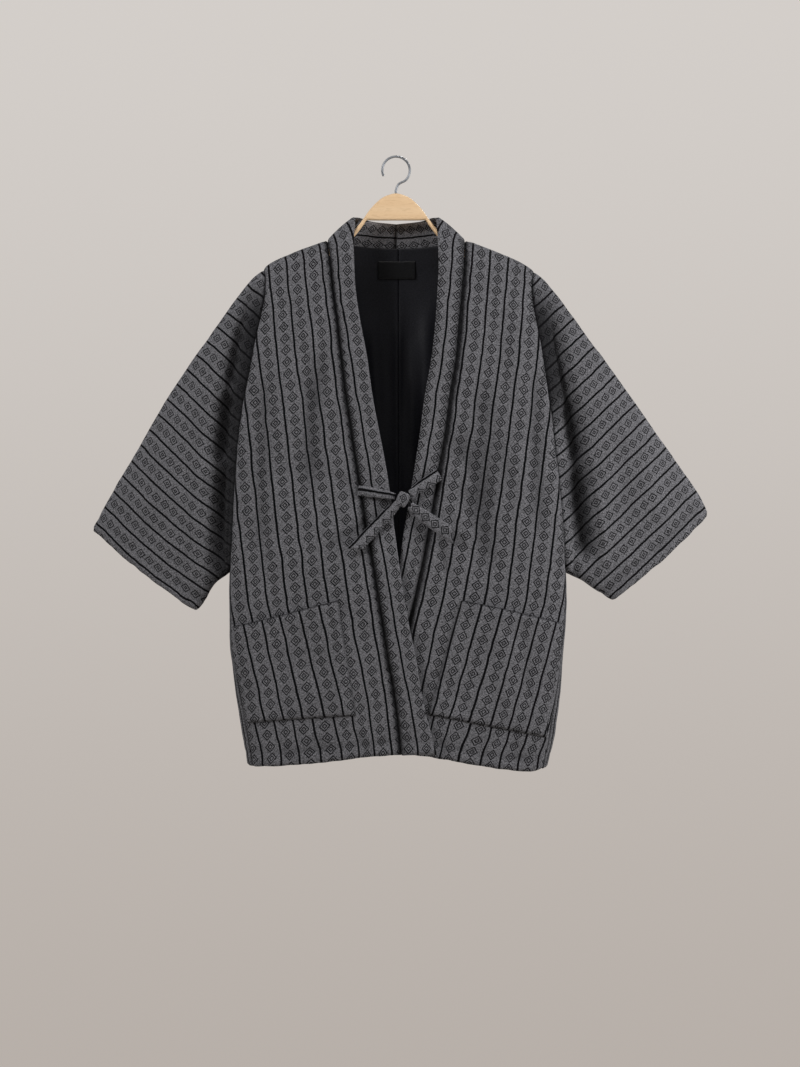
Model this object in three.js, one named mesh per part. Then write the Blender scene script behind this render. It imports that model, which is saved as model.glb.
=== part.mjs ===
// A padded hanten jacket hanging on a wooden hanger.
//
// Millimetres, +Z up. The origin is the inner top of the hanger's hook. The jacket's front faces -Y,
// and +X is the wearer's left. Names give the wearer's side: "right" pieces lie at x < 0.
//
// Each padded panel is one closed wall: a grid of points on its middle surface, moved out and in by
// half its thickness along the grid's normals, with a rim round the edge.

import * as THREE from "three";

// ---------------------------------------------------------------- driving sizes

const PADDED = 6; // body and sleeve panels, two cloths with wadding between
const COLLAR_EDGE = 6; // collar at its seam and at its folded edge
const COLLAR_MIDDLE = 9.5; // collar along its middle
const POCKET = 5;
const TIE = 4.5;
const LINING = 1.5;
const LABEL = 1;

const SEAM = 0.4; // gap between two pieces that are sewn edge to edge
const ON_TOP = 0.8; // gap between a panel and what lies flat on it
const ARMHOLE_GAP = 1.1; // gap between the body's side and the sleeve's end

const RIDGE_RADIUS = 11; // round of the shoulder ridge, middle of the wall
const BODY_DEPTH = 37; // middle of the front or back wall from the centre plane
const DEPTH_GROWTH = 110; // how far below the ridge most of that depth is reached
const SIDE_DEPTH = 22; // where a front or back ends at the side
const SIDE_GROWTH = 60;
const SIDE_TURN = 35; // width of the round from the flat front to the side
const NECK_DROP = 42; // back neck seam below the line of the shoulders
const NECK_HALF = 104; // neck seam on the shoulder, from the centre
const NECK_BULGE = 15; // back neck stands further back than the shoulders
const LAP = 12.5; // right front stands this far over the left one at the hem

const HANGER_THICK = 12;
const HOOK_WIRE = 3.5;
const HOOK_INSIDE = 19;
const WOOD_TOP = -55;

// ---------------------------------------------------------------- outlines

// The body's two side edges seen from the front, and how much of the gusset shows beyond each.
const bodySides = [
  { z: -160, right: -199, left: 208, gusset: 0 },
  { z: -206, right: -200, left: 208, gusset: 0 },
  { z: -228, right: -203, left: 210, gusset: 0 },
  { z: -277, right: -214, left: 219, gusset: 0 },
  { z: -322, right: -222, left: 226, gusset: 0 },
  { z: -386, right: -234, left: 235, gusset: 0 },
  { z: -452, right: -241, left: 243, gusset: 0 },
  { z: -532, right: -246, left: 251, gusset: 0 },
  { z: -622, right: -250, left: 256, gusset: 0 },
  { z: -685, right: -251, left: 257, gusset: 1 },
  { z: -737, right: -250, left: 253, gusset: 2 },
  { z: -779, right: -245, left: 250, gusset: 4 },
  { z: -832, right: -238, left: 245, gusset: 7 },
  { z: -870, right: -232, left: 240, gusset: 8 },
  { z: -915, right: -223, left: 229, gusset: 6 },
];

// The collar's seam to the fronts, and its folded inner edge.
const collarLines = [
  { z: -125, rightSeam: -104, rightEdge: -65, leftSeam: 104, leftEdge: 63 },
  { z: -160, rightSeam: -98, rightEdge: -63, leftSeam: 103, leftEdge: 64 },
  { z: -205, rightSeam: -93, rightEdge: -60, leftSeam: 99, leftEdge: 62 },
  { z: -250, rightSeam: -87, rightEdge: -53, leftSeam: 95, leftEdge: 59 },
  { z: -304, rightSeam: -81, rightEdge: -43, leftSeam: 90, leftEdge: 53 },
  { z: -361, rightSeam: -74, rightEdge: -35, leftSeam: 81, leftEdge: 43 },
  { z: -414, rightSeam: -66, rightEdge: -25, leftSeam: 74, leftEdge: 36 },
  { z: -460, rightSeam: -59, rightEdge: -16, leftSeam: 66, leftEdge: 29 },
  { z: -510, rightSeam: -51, rightEdge: -8, leftSeam: 58, leftEdge: 21 },
  { z: -562, rightSeam: -43, rightEdge: -2, leftSeam: 49, leftEdge: 12 },
  { z: -620, rightSeam: -32, rightEdge: 6, leftSeam: 38, leftEdge: 4 },
  { z: -660, rightSeam: -26, rightEdge: 12, leftSeam: 29, leftEdge: -4 },
  { z: -701, rightSeam: -19, rightEdge: 19, leftSeam: 19, leftEdge: -12 },
  { z: -754, rightSeam: -11, rightEdge: 30, leftSeam: 8, leftEdge: -22 },
  { z: -792, rightSeam: -4, rightEdge: 36, leftSeam: 1, leftEdge: -30 },
  { z: -834, rightSeam: 2, rightEdge: 44, leftSeam: -6, leftEdge: -39 },
  { z: -870, rightSeam: 6, rightEdge: 54, leftSeam: -12, leftEdge: -49 },
  { z: -905, rightSeam: 9, rightEdge: 63, leftSeam: -18, leftEdge: -60 },
];

// The collar's folded edge round the neck, from the centre back to the front of the shoulder.
const neckEdge = [
  { part: 0.0, out: 0, y: 27, z: -104 },
  { part: 0.4, out: 36, y: 22, z: -100 },
  { part: 0.75, out: 54, y: 12, z: -95 },
  { part: 1.0, out: 61, y: 1, z: -93 },
];

// The line of the shoulders. Inside the neck it is only a line that the back is measured from.
const shoulderRidge = [
  { out: 0, z: -107 },
  { out: 60, z: -116 },
  { out: 104, z: -125.5 },
  { out: 137, z: -136.5 },
  { out: 163, z: -147 },
  { out: 189, z: -158.5 },
  { out: 210, z: -168.5 },
];

// The hem rises to the middle of the jacket.
const hemLine = [
  { x: -228, z: -911 },
  { x: -215, z: -916 },
  { x: -175, z: -915 },
  { x: -110, z: -910 },
  { x: -40, z: -901 },
  { x: 0, z: -898 },
  { x: 42, z: -901 },
  { x: 94, z: -910 },
  { x: 150, z: -919 },
  { x: 205, z: -923 },
  { x: 232, z: -916 },
];

// The two folds of each sleeve, from the armhole (along 0) to the cuff (along 1).
const sleeveFolds = {
  right: [
    { along: 0.0, topX: -199, topZ: -170, lowX: -250, lowZ: -623 },
    { along: 0.1, topX: -227, topZ: -201, lowX: -256, lowZ: -627 },
    { along: 0.3, topX: -283, topZ: -279, lowX: -272, lowZ: -638 },
    { along: 0.5, topX: -337, topZ: -357, lowX: -282, lowZ: -651 },
    { along: 0.75, topX: -397, topZ: -460, lowX: -291, lowZ: -668 },
    { along: 0.93, topX: -441, topZ: -534, lowX: -301, lowZ: -678 },
    { along: 1.0, topX: -455, topZ: -563, lowX: -306, lowZ: -681 },
  ],
  left: [
    { along: 0.0, topX: 208, topZ: -173, lowX: 256, lowZ: -623 },
    { along: 0.1, topX: 235, topZ: -204, lowX: 266, lowZ: -628 },
    { along: 0.3, topX: 289, topZ: -277, lowX: 281, lowZ: -635 },
    { along: 0.5, topX: 343, topZ: -351, lowX: 295, lowZ: -644 },
    { along: 0.75, topX: 409, topZ: -445, lowX: 312, lowZ: -655 },
    { along: 0.93, topX: 456, topZ: -513, lowX: 325, lowZ: -663 },
    { along: 1.0, topX: 469, topZ: -541, lowX: 330, lowZ: -666 },
  ],
};

// Half of a sleeve's thickness from front to back, and the dip where it hangs beside the body.
const sleeveDepth = [
  { along: 0.0, half: 24 },
  { along: 0.1, half: 17 },
  { along: 0.25, half: 19 },
  { along: 0.5, half: 20 },
  { along: 0.8, half: 16 },
  { along: 1.0, half: 14 },
];

// Soft troughs in the fronts, each along a line, with its half width and its depth.
const frontTroughs = [
  { x0: -131, z0: -285, x1: -128, z1: -520, wide: 17, deep: 5 },
  { x0: -196, z0: -300, x1: -206, z1: -640, wide: 13, deep: 4 },
  { x0: 128, z0: -330, x1: 138, z1: -560, wide: 18, deep: 4 },
  { x0: 205, z0: -290, x1: 214, z1: -600, wide: 13, deep: 4 },
];
const backTroughs = [
  { x0: -120, z0: -260, x1: -112, z1: -640, wide: 20, deep: 5 },
  { x0: 126, z0: -300, x1: 120, z1: -700, wide: 20, deep: 5 },
  { x0: -40, z0: -670, x1: -34, z1: -870, wide: 24, deep: 4 },
];

// Corners of each patch pocket, and how far its mouth is above the straight line at its middle.
const pockets = {
  right: { outTop: [-242, -706], inTop: [-86, -666], inLow: [-60, -839], outLow: [-219, -850], mouth: -1 },
  left: { outTop: [247, -701], inTop: [98, -667], inLow: [48, -838], outLow: [223, -872], mouth: 2 },
};

// Each tie: points along its middle line, with its width there and how far it stands off the collar.
const ties = {
  tie_right_strap: [
    { x: -57, z: -499, wide: 24, off: 1 },
    { x: -40, z: -501, wide: 23, off: 1 },
    { x: -20, z: -505, wide: 20, off: 2 },
    { x: -2, z: -512, wide: 13, off: 6 },
  ],
  tie_left_strap: [
    { x: 63, z: -482, wide: 20, off: 1 },
    { x: 48, z: -487, wide: 20, off: 1 },
    { x: 34, z: -498, wide: 18, off: 3 },
    { x: 23, z: -508, wide: 13, off: 6 },
  ],
  tie_right_tail: [
    { x: 3, z: -531, wide: 12, off: 7 },
    { x: -9, z: -541, wide: 21, off: 4 },
    { x: -29, z: -558, wide: 24, off: 2 },
    { x: -48, z: -574, wide: 25, off: 3 },
    { x: -64, z: -588, wide: 25, off: 4 },
  ],
  tie_left_tail: [
    { x: 22, z: -523, wide: 12, off: 7 },
    { x: 36, z: -534, wide: 20, off: 4 },
    { x: 54, z: -549, wide: 24, off: 2 },
    { x: 71, z: -562, wide: 25, off: 3 },
    { x: 82, z: -571, wide: 25, off: 4 },
  ],
};
const KNOT = { x: 10.5, z: -518, wide: 24, tall: 24, thick: 15 };

// The hanger's wood, from its middle outwards: top and bottom of the wood.
const hangerWood = [
  { out: 6, top: -55, low: -94.5 },
  { out: 14, top: -58.5, low: -94.5 },
  { out: 22, top: -63.5, low: -94.5 },
  { out: 36, top: -77, low: -94.5 },
  { out: 43, top: -86, low: -95 },
  { out: 47, top: -91, low: -101 },
  { out: 62, top: -108, low: -118 },
  { out: 80, top: -125, low: -136 },
  { out: 104, top: -138, low: -149 },
  { out: 140, top: -149, low: -160 },
  { out: 186, top: -170, low: -180 },
  { out: 191, top: -174, low: -178 },
];

// ---------------------------------------------------------------- small helpers

const SIDES = { right: -1, left: 1 };
const mix = (a, b, t) => a + (b - a) * t;
const clamp = (v, lo, hi) => Math.min(Math.max(v, lo), hi);
const smooth = (t) => {
  const c = clamp(t, 0, 1);
  return c * c * (3 - 2 * c);
};
const steps = (count) => Array.from({ length: count + 1 }, (_, i) => i / count);

// A smooth curve through one column of a table, read by a column that only rises or only falls.
function curve(rows, by, column) {
  const at = rows.map((row) => row[by]);
  const value = rows.map((row) => row[column]);
  const last = rows.length - 1;
  const slope = value.map((_, i) => {
    const before = Math.max(i - 1, 0);
    const after = Math.min(i + 1, last);
    return (value[after] - value[before]) / (at[after] - at[before]);
  });
  const way = Math.sign(at[last] - at[0]);
  return (place) => {
    let i = 0;
    while (i < last - 1 && way * (place - at[i + 1]) > 0) i += 1;
    const span = at[i + 1] - at[i];
    const t = clamp((place - at[i]) / span, 0, 1);
    const bend = t * (1 - t) * span * (slope[i] * (1 - t) - slope[i + 1] * t);
    return mix(value[i], value[i + 1], t * t * (3 - 2 * t)) + bend;
  };
}

// ---------------------------------------------------------------- the body's form

const ridgeAt = curve(shoulderRidge, "out", "z");
const hemAt = curve(hemLine, "x", "z");
const gussetAt = curve(bodySides, "z", "gusset");
const sideAt = { right: curve(bodySides, "z", "right"), left: curve(bodySides, "z", "left") };
const seamAt = { right: curve(collarLines, "z", "rightSeam"), left: curve(collarLines, "z", "leftSeam") };
const edgeAt = { right: curve(collarLines, "z", "rightEdge"), left: curve(collarLines, "z", "leftEdge") };

// The ridge itself is round: 0 at its top line, 1 once the wall hangs straight.
function ridgeRound(drop) {
  const t = clamp(1 - drop / RIDGE_RADIUS, 0, 1);
  return Math.sqrt(1 - t * t);
}

function growth(drop, from, to, scale) {
  return ridgeRound(drop) * mix(from, to, 1 - Math.exp(-Math.max(drop, 0) / scale));
}

// Distance of the front or back wall from the centre plane, by how far it is below the ridge.
const flatDepth = (drop) => growth(drop, RIDGE_RADIUS, BODY_DEPTH, DEPTH_GROWTH);
const sideDepth = (drop) => growth(drop, RIDGE_RADIUS, SIDE_DEPTH, SIDE_GROWTH);

// How deep the soft troughs are at a place.
function troughs(rows, x, z) {
  let sum = 0;
  for (const row of rows) {
    const runX = row.x1 - row.x0;
    const runZ = row.z1 - row.z0;
    const t = ((x - row.x0) * runX + (z - row.z0) * runZ) / (runX * runX + runZ * runZ);
    const near = clamp(t, 0, 1);
    const away = Math.hypot(x - row.x0 - near * runX, z - row.z0 - near * runZ) / row.wide;
    const fade = smooth(Math.min(t, 1 - t) * 4 + 0.1);
    sum += row.deep * fade * Math.exp(-away * away);
  }
  return sum;
}

// How far the right front and its collar stand forward over the left ones.
const lapAt = (x, z) => LAP * smooth((-z - 500) / 130) * smooth((x + 175) / 115);

// Middle of the flat part of a front wall at a place seen from the front.
function frontY(side, x, z) {
  const drop = ridgeAt(Math.abs(x)) - PADDED / 2 - z;
  const lap = side === "right" ? lapAt(x, z) : 0;
  return -flatDepth(drop) - lap + troughs(frontTroughs, x, z);
}

// Middle of the flat part of the back wall.
function backY(x, z) {
  const drop = ridgeAt(Math.abs(x)) - PADDED / 2 - z;
  const bulge = NECK_BULGE * Math.max(0, 1 - (x / 130) ** 2) * ridgeRound(drop);
  const fade = Math.exp(-Math.max(0, drop - NECK_DROP) / 150);
  return flatDepth(drop) + bulge * fade - troughs(backTroughs, x, z);
}

// A front's wall runs flat and then rounds back to the side. turn is 0 on the flat part, 1 at the side.
function bodySideX(side, z, drop) {
  const sign = SIDES[side];
  return sideAt[side](z) - sign * (gussetAt(z) + (PADDED / 2) * smooth(drop / 20));
}

// ---------------------------------------------------------------- walls

// Normals of a grid of points. A closed grid's rows join up end to end.
function gridNormals(grid, closed) {
  const rows = grid.length;
  const columns = grid[0].length;
  const pick = (i, j) => grid[clamp(i, 0, rows - 1)][closed ? (j + columns) % columns : clamp(j, 0, columns - 1)];
  return grid.map((row, i) => row.map((_, j) => {
    const down = pick(i + 1, j).clone().sub(pick(i - 1, j));
    const across = pick(i, j + 1).clone().sub(pick(i, j - 1));
    return down.cross(across).normalize();
  }));
}

// One closed solid: the grid moved both ways along its normals, and a rim.
function wall(grid, thickness, { closed = false, normals = gridNormals(grid, closed) } = {}) {
  const rows = grid.length;
  const columns = grid[0].length;
  const positions = [];
  const index = [];
  for (const way of [1, -1]) {
    grid.forEach((row, i) => row.forEach((point, j) => {
      const half = (typeof thickness === "function" ? thickness(i, j) : thickness) / 2;
      positions.push(...point.clone().addScaledVector(normals[i][j], way * half).toArray());
    }));
  }
  const outer = (i, j) => i * columns + (j % columns);
  const inner = (i, j) => rows * columns + outer(i, j);
  const quad = (a, b, c, d) => index.push(a, b, c, a, c, d);
  const lastColumn = closed ? columns : columns - 1;
  for (let i = 0; i < rows - 1; i += 1) {
    for (let j = 0; j < lastColumn; j += 1) {
      quad(outer(i, j), outer(i + 1, j), outer(i + 1, j + 1), outer(i, j + 1));
      quad(inner(i, j), inner(i, j + 1), inner(i + 1, j + 1), inner(i + 1, j));
    }
  }
  for (let j = 0; j < lastColumn; j += 1) {
    quad(outer(0, j), outer(0, j + 1), inner(0, j + 1), inner(0, j));
    quad(outer(rows - 1, j + 1), outer(rows - 1, j), inner(rows - 1, j), inner(rows - 1, j + 1));
  }
  if (!closed) {
    for (let i = 0; i < rows - 1; i += 1) {
      quad(outer(i, 0), inner(i, 0), inner(i + 1, 0), outer(i + 1, 0));
      quad(outer(i + 1, columns - 1), inner(i + 1, columns - 1), inner(i, columns - 1), outer(i, columns - 1));
    }
  }
  const geometry = new THREE.BufferGeometry();
  geometry.setAttribute("position", new THREE.Float32BufferAttribute(positions, 3));
  geometry.setIndex(index);
  geometry.computeVertexNormals();
  return geometry;
}

// ---------------------------------------------------------------- finishes

const finishes = {
  cloth: { color: 0x646468, roughness: 0.95 },
  collar: { color: 0x606065, roughness: 0.95 },
  lining: { color: 0x141417, roughness: 0.45 },
  label: { color: 0x0e0e10, roughness: 0.6 },
  wood: { color: 0xe2be94, roughness: 0.5 },
  steel: { color: 0xb9bcc0, roughness: 0.3, metalness: 1 },
};

const hanten = new THREE.Group();

function add(name, geometry, finish) {
  const mesh = new THREE.Mesh(geometry, new THREE.MeshStandardMaterial(finishes[finish]));
  mesh.name = name;
  hanten.add(mesh);
  return mesh;
}

// ---------------------------------------------------------------- fronts and backs

const RIDGE_DROPS = [0, 1.5, 5.5, RIDGE_RADIUS]; // rows round the ridge
const LOWER_ROWS = 15; // rows from the ridge's round to the hem
const FLAT_COLUMNS = 5; // columns from the collar seam to the side's round
const NECK_COLUMNS = 5; // columns of a back within the neck
const TURN_ANGLES = [30, 55, 75, 90].map(THREE.MathUtils.degToRad); // columns of the side's round
const ROW_COUNT = RIDGE_DROPS.length + LOWER_ROWS;

// How far row i hangs below the top of a column of a given height.
function rowDrop(i, height) {
  if (i < RIDGE_DROPS.length) return RIDGE_DROPS[i];
  const t = (i - RIDGE_DROPS.length + 1) / LOWER_ROWS;
  return mix(RIDGE_RADIUS, height, t ** 1.08);
}

// The columns of a front (from the collar seam) or a back (from the centre), as parts of the flat
// width at the shoulder, then the angles of the side's round.
function bodyColumns(side, face) {
  const flatEnd = Math.abs(bodySideX(side, ridgeAt(210), 0)) - SIDE_TURN;
  const shoulder = steps(FLAT_COLUMNS).map((t) => mix(NECK_HALF, flatEnd, t));
  const neck = steps(NECK_COLUMNS).slice(0, -1).map((t) => NECK_HALF * Math.sin((t * Math.PI) / 2));
  const flat = face === "front" ? shoulder : [...neck, ...shoulder];
  const columns = flat.map((out) => ({ out, flatEnd, angle: 0 }));
  const turned = TURN_ANGLES.map((angle) => ({ out: flatEnd + SIDE_TURN * Math.sin(angle), flatEnd, angle }));
  return [...columns, ...turned];
}

// Half of the neck's opening seen from above: the back neck seam leaves the ridge at the collar seam.
const neckDropAt = (out) => NECK_DROP * Math.sqrt(Math.max(0, 1 - (out / NECK_HALF) ** 2));

// Middle points of one front or back. Row 0 is the shoulder seam, or the neck seam.
function bodyGrid(side, face) {
  const sign = SIDES[side];
  const columns = bodyColumns(side, face);
  const isFront = face === "front";
  const topOf = (out) => ridgeAt(out) - PADDED / 2 - (isFront ? 0 : neckDropAt(out));
  const hemInside = isFront ? seamAt[side](-905) : 0;
  const hemOf = (column) => {
    const part = (column.out - (isFront ? NECK_HALF : 0)) / (column.flatEnd - (isFront ? NECK_HALF : 0));
    const hemSide = bodySideX(side, -915, 100) - sign * SIDE_TURN;
    return hemAt(column.angle ? hemSide + sign * SIDE_TURN * Math.sin(column.angle) : mix(hemInside, hemSide, part));
  };
  const rows = Array.from({ length: ROW_COUNT }, (_, i) => i);
  return rows.map((i) => {
    const heights = columns.map((column) => topOf(column.out) - hemOf(column));
    const zOf = (j) => topOf(columns[j].out) - rowDrop(i, heights[j]);
    const inside = isFront ? seamAt[side](zOf(0)) - (-sign) * SEAM : sign * (SEAM / 2);
    const insideTop = isFront ? NECK_HALF : 0;
    return columns.map((column, j) => {
      const z = zOf(j);
      const drop = ridgeAt(column.out) - PADDED / 2 - topOf(column.out) + rowDrop(i, heights[j]);
      const sideX = bodySideX(side, z, drop);
      const flatX = sideX - sign * SIDE_TURN;
      const part = (column.out - insideTop) / (column.flatEnd - insideTop);
      const x = column.angle ? flatX + sign * SIDE_TURN * Math.sin(column.angle) : mix(inside, flatX, part);
      const flatY = isFront ? frontY(side, x, z) : backY(x, z);
      const turned = column.angle ? 1 - Math.cos(column.angle) : 0;
      const way = isFront ? -1 : 1;
      const onRidge = i === 0 && topOf(column.out) === ridgeAt(column.out) - PADDED / 2;
      const y = onRidge ? (way * SEAM) / 2 : mix(flatY, way * sideDepth(drop), turned);
      return new THREE.Vector3(x, y, z);
    });
  });
}

// The shoulder seam's rims stand upright across the ridge, so that front and back meet squarely.
function bodyNormals(grid, face) {
  const normals = gridNormals(grid, false);
  const firstRidge = face === "front" ? 0 : NECK_COLUMNS;
  for (let j = firstRidge; j < grid[0].length; j += 1) {
    const before = grid[0][Math.max(j - 1, firstRidge)];
    const after = grid[0][Math.min(j + 1, grid[0].length - 1)];
    const slope = after.clone().sub(before).normalize();
    const upright = new THREE.Vector3(-slope.z, 0, slope.x).normalize();
    if (upright.dot(normals[1][j]) < 0) upright.negate();
    normals[0][j].copy(upright);
  }
  // Below the shoulder the side's rim lies square to the side seam.
  for (const row of normals.slice(RIDGE_DROPS.length)) {
    const rim = row[row.length - 1];
    rim.y = 0;
    rim.normalize();
  }
  return normals;
}

const body = {};
for (const side of Object.keys(SIDES)) {
  for (const face of ["front", "back"]) {
    const grid = bodyGrid(side, face);
    const normals = bodyNormals(grid, face);
    body[`${face}_${side}`] = { grid, normals };
    add(`${face}_${side}`, wall(grid, PADDED, { normals }), "cloth");
  }
}

// ---------------------------------------------------------------- collar

const COLLAR_COLUMNS = 4;

// Thickness across the collar, from its seam to its folded edge.
function collarThickness(j) {
  const t = j / COLLAR_COLUMNS;
  return mix(COLLAR_EDGE, COLLAR_MIDDLE, Math.sin(Math.PI * t));
}

// The collar's folded edge opposite a seam point on the front.
function frontEdge(side, z) {
  const x = edgeAt[side](z);
  const stand = 6 * Math.exp(-(-z - 125) / 90);
  const lap = side === "right" ? lapAt(x, z) : 0;
  return new THREE.Vector3(x, -flatDepth(ridgeAt(NECK_HALF) - z + 14) - stand - lap, z);
}

function collarHalf(side) {
  const sign = SIDES[side];
  const back = body[`back_${side}`];
  const front = body[`front_${side}`];
  const neckX = curve(neckEdge, "part", "out");
  const neckY = curve(neckEdge, "part", "y");
  const neckZ = curve(neckEdge, "part", "z");
  const stations = [];
  for (let j = 0; j < NECK_COLUMNS; j += 1) {
    const part = j / NECK_COLUMNS;
    const edge = new THREE.Vector3(sign * Math.max(neckX(part), SEAM / 2), neckY(part), neckZ(part));
    stations.push({ seam: back.grid[0][j], normal: back.normals[0][j], edge, flip: 1 });
  }
  const nearRidge = RIDGE_DROPS.length;
  for (let i = 0; i < ROW_COUNT; i += 1) {
    const seam = front.grid[i][0];
    const blend = smooth(i / nearRidge);
    const neck = new THREE.Vector3(sign * neckX(1), -i * 3, neckZ(1) - i * 2);
    const edge = neck.lerp(frontEdge(side, seam.z), blend);
    stations.push({ seam, normal: front.normals[i][0], edge, flip: -1 });
  }
  const grid = stations.map(({ seam, edge }) => {
    const toEdge = edge.clone().sub(seam).normalize();
    const start = seam.clone().addScaledVector(toEdge, SEAM);
    return steps(COLLAR_COLUMNS).map((t) => start.clone().lerp(edge, t));
  });
  const normals = gridNormals(grid, false);
  stations.forEach((station, i) => {
    const rim = station.normal.clone();
    if (rim.dot(normals[i][1]) < 0) rim.negate();
    normals[i][0].copy(rim);
  });
  normals[0].forEach((normal) => {
    normal.x = 0;
    normal.normalize();
  });
  return wall(grid, (i, j) => collarThickness(j), { normals });
}

for (const side of Object.keys(SIDES)) add(`collar_${side}`, collarHalf(side), "collar");

// ---------------------------------------------------------------- sleeves

const SLEEVE_ROWS = 12;
const UNDERARM_ROUND = 40; // height over which the armhole closes at its foot

// Heights round the armhole, as parts of its height: those of the front's own rows, and its foot.
function armholeParts(side, top, low) {
  const front = body[`front_${side}`].grid;
  const rows = front.map((row) => (top - row[row.length - 1].z) / (top - low));
  return [0, ...rows.filter((part) => part > 0.015 && part < 0.93), 0.955, 0.985, 1];
}

function sleeveGrid(side) {
  const sign = SIDES[side];
  const rows = sleeveFolds[side];
  const [topX, topZ, lowX, lowZ] = ["topX", "topZ", "lowX", "lowZ"].map((c) => curve(rows, "along", c));
  const half = curve(sleeveDepth, "along", "half");
  const height = topZ(0) - lowZ(0);
  const armhole = (w) => {
    const z = topZ(0) - w * height;
    return [sideAt[side](z) + sign * ARMHOLE_GAP, z];
  };
  const cuff = (w) => {
    const bulge = 4 * Math.sin(Math.PI * w);
    return [mix(topX(1), lowX(1), w) + sign * bulge * 0.6, mix(topZ(1), lowZ(1), w) - bulge * 0.8];
  };
  // The front half of the sleeve as a flat patch between its folds, the armhole and the cuff.
  const place = (s, w) => [0, 1].map((k) => {
    const folds = mix(k ? topZ(s) : topX(s), k ? lowZ(s) : lowX(s), w);
    const ends = mix(armhole(w)[k], cuff(w)[k], s);
    const top = mix(k ? topZ(0) : topX(0), cuff(0)[k], s);
    const low = mix(k ? lowZ(0) : lowX(0), cuff(1)[k], s);
    const corners = mix(top, low, w);
    return folds + ends - corners;
  });
  const down = armholeParts(side, topZ(0), lowZ(0));
  const ring = [
    ...down.map((w) => ({ w, way: -1 })),
    ...down.slice(1, -1).reverse().map((w) => ({ w, way: 1 })),
  ];
  return steps(SLEEVE_ROWS).map((s) => ring.map(({ w, way }) => {
    const [x, z] = place(s, w);
    const foot = clamp(((1 - w) * height) / UNDERARM_ROUND, 0, 1);
    const atBody = (sideDepth(w * height) + 2) * Math.sqrt(1 - (1 - foot) ** 2);
    const beyond = half(s) * (4 * w * (1 - w)) ** 0.25;
    return new THREE.Vector3(x, way * mix(atBody, beyond, smooth(s / 0.1)), z);
  }));
}

// The sleeve's end lies flat against the body's side.
function sleeveNormals(grid) {
  const normals = gridNormals(grid, true);
  for (const normal of normals[0]) {
    const lean = Math.max(Math.hypot(normal.y, normal.z), 0.6);
    normal.set(0, normal.y, normal.z).divideScalar(lean * lean);
  }
  return normals;
}

for (const side of Object.keys(SIDES)) {
  const grid = sleeveGrid(side);
  add(`sleeve_${side}`, wall(grid, PADDED, { closed: true, normals: sleeveNormals(grid) }), "cloth");
}

// ---------------------------------------------------------------- gussets

const GUSSET_COLUMNS = 4;
const UNDERARM = -626; // outside of the sleeve's lower fold at the body

// The strip between front and back below the sleeve. Its edges follow the two panels' side edges.
function gussetGrid(side) {
  const sign = SIDES[side];
  const front = body[`front_${side}`].grid;
  const last = front[0].length - 1;
  const low = front.map((row) => row[last]).filter((point) => point.z < UNDERARM - 24);
  const topOf = (part) => UNDERARM - 5 + 34 * (1 - Math.sqrt(1 - (0.9 * part) ** 2));
  const parts = steps(GUSSET_COLUMNS).map((t) => 2 * t - 1);
  const edgeY = SIDE_DEPTH - SEAM;
  const row = (zOf) => parts.map((part) => {
    const z = zOf(part);
    const bulge = gussetAt(z) * (1 - part * part) * smooth((UNDERARM - z) / 60);
    return new THREE.Vector3(bodySideX(side, z, 100) + sign * bulge, part * edgeY, z);
  });
  return [row(topOf), ...low.map((point) => row(() => point.z))];
}

for (const side of Object.keys(SIDES)) {
  const grid = gussetGrid(side);
  const normals = gridNormals(grid, false);
  normals.forEach((row) => [row[0], row[GUSSET_COLUMNS]].forEach((normal) => {
    normal.y = 0;
    normal.normalize();
  }));
  add(`gusset_${side}`, wall(grid, PADDED, { normals }), "cloth");
}

// ---------------------------------------------------------------- pockets

const POCKET_COLUMNS = 11; // closest together where the front rounds to the side
const POCKET_ROWS = 7;

// The front's middle point for a place seen from the front, also where it rounds to the side.
function onFront(side, x, z) {
  const sign = SIDES[side];
  const drop = ridgeAt(Math.abs(x)) - PADDED / 2 - z;
  const flatX = bodySideX(side, z, drop) - sign * SIDE_TURN;
  const t = clamp((sign * (x - flatX)) / SIDE_TURN, 0, 0.9);
  const turned = 1 - Math.sqrt(1 - t * t);
  const seenX = flatX + sign * SIDE_TURN * t;
  const useX = sign * (x - flatX) > 0 ? seenX : x;
  return new THREE.Vector3(useX, mix(frontY(side, useX, z), -sideDepth(drop), turned), z);
}

function pocketGrid(side) {
  const { outTop, inTop, inLow, outLow, mouth } = pockets[side];
  const columns = steps(POCKET_COLUMNS).map((t) => t ** 1.5);
  return steps(POCKET_ROWS).map((down) => columns.map((across) => {
    const lift = mouth * 4 * across * (1 - across) * (1 - down);
    const x = mix(mix(outTop[0], inTop[0], across), mix(outLow[0], inLow[0], across), down);
    const z = mix(mix(outTop[1], inTop[1], across), mix(outLow[1], inLow[1], across), down) + lift;
    return onFront(side, x, z);
  }));
}

for (const side of Object.keys(SIDES)) {
  const grid = pocketGrid(side);
  const normals = gridNormals(grid, false);
  const away = PADDED / 2 + ON_TOP + POCKET / 2;
  const lifted = grid.map((row, i) => row.map((point, j) => {
    const outward = normals[i][j].y < 0 ? 1 : -1;
    return point.clone().addScaledVector(normals[i][j], outward * away);
  }));
  add(`pocket_${side}`, wall(lifted, POCKET), "cloth");
}

// ---------------------------------------------------------------- ties and knot

const TIE_ROWS = 3; // grid rows between two rows of a tie's table
const COLLAR_FRONT = -(BODY_DEPTH + COLLAR_MIDDLE / 2 + ON_TOP + TIE / 2); // middle of a tie on the collar

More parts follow.
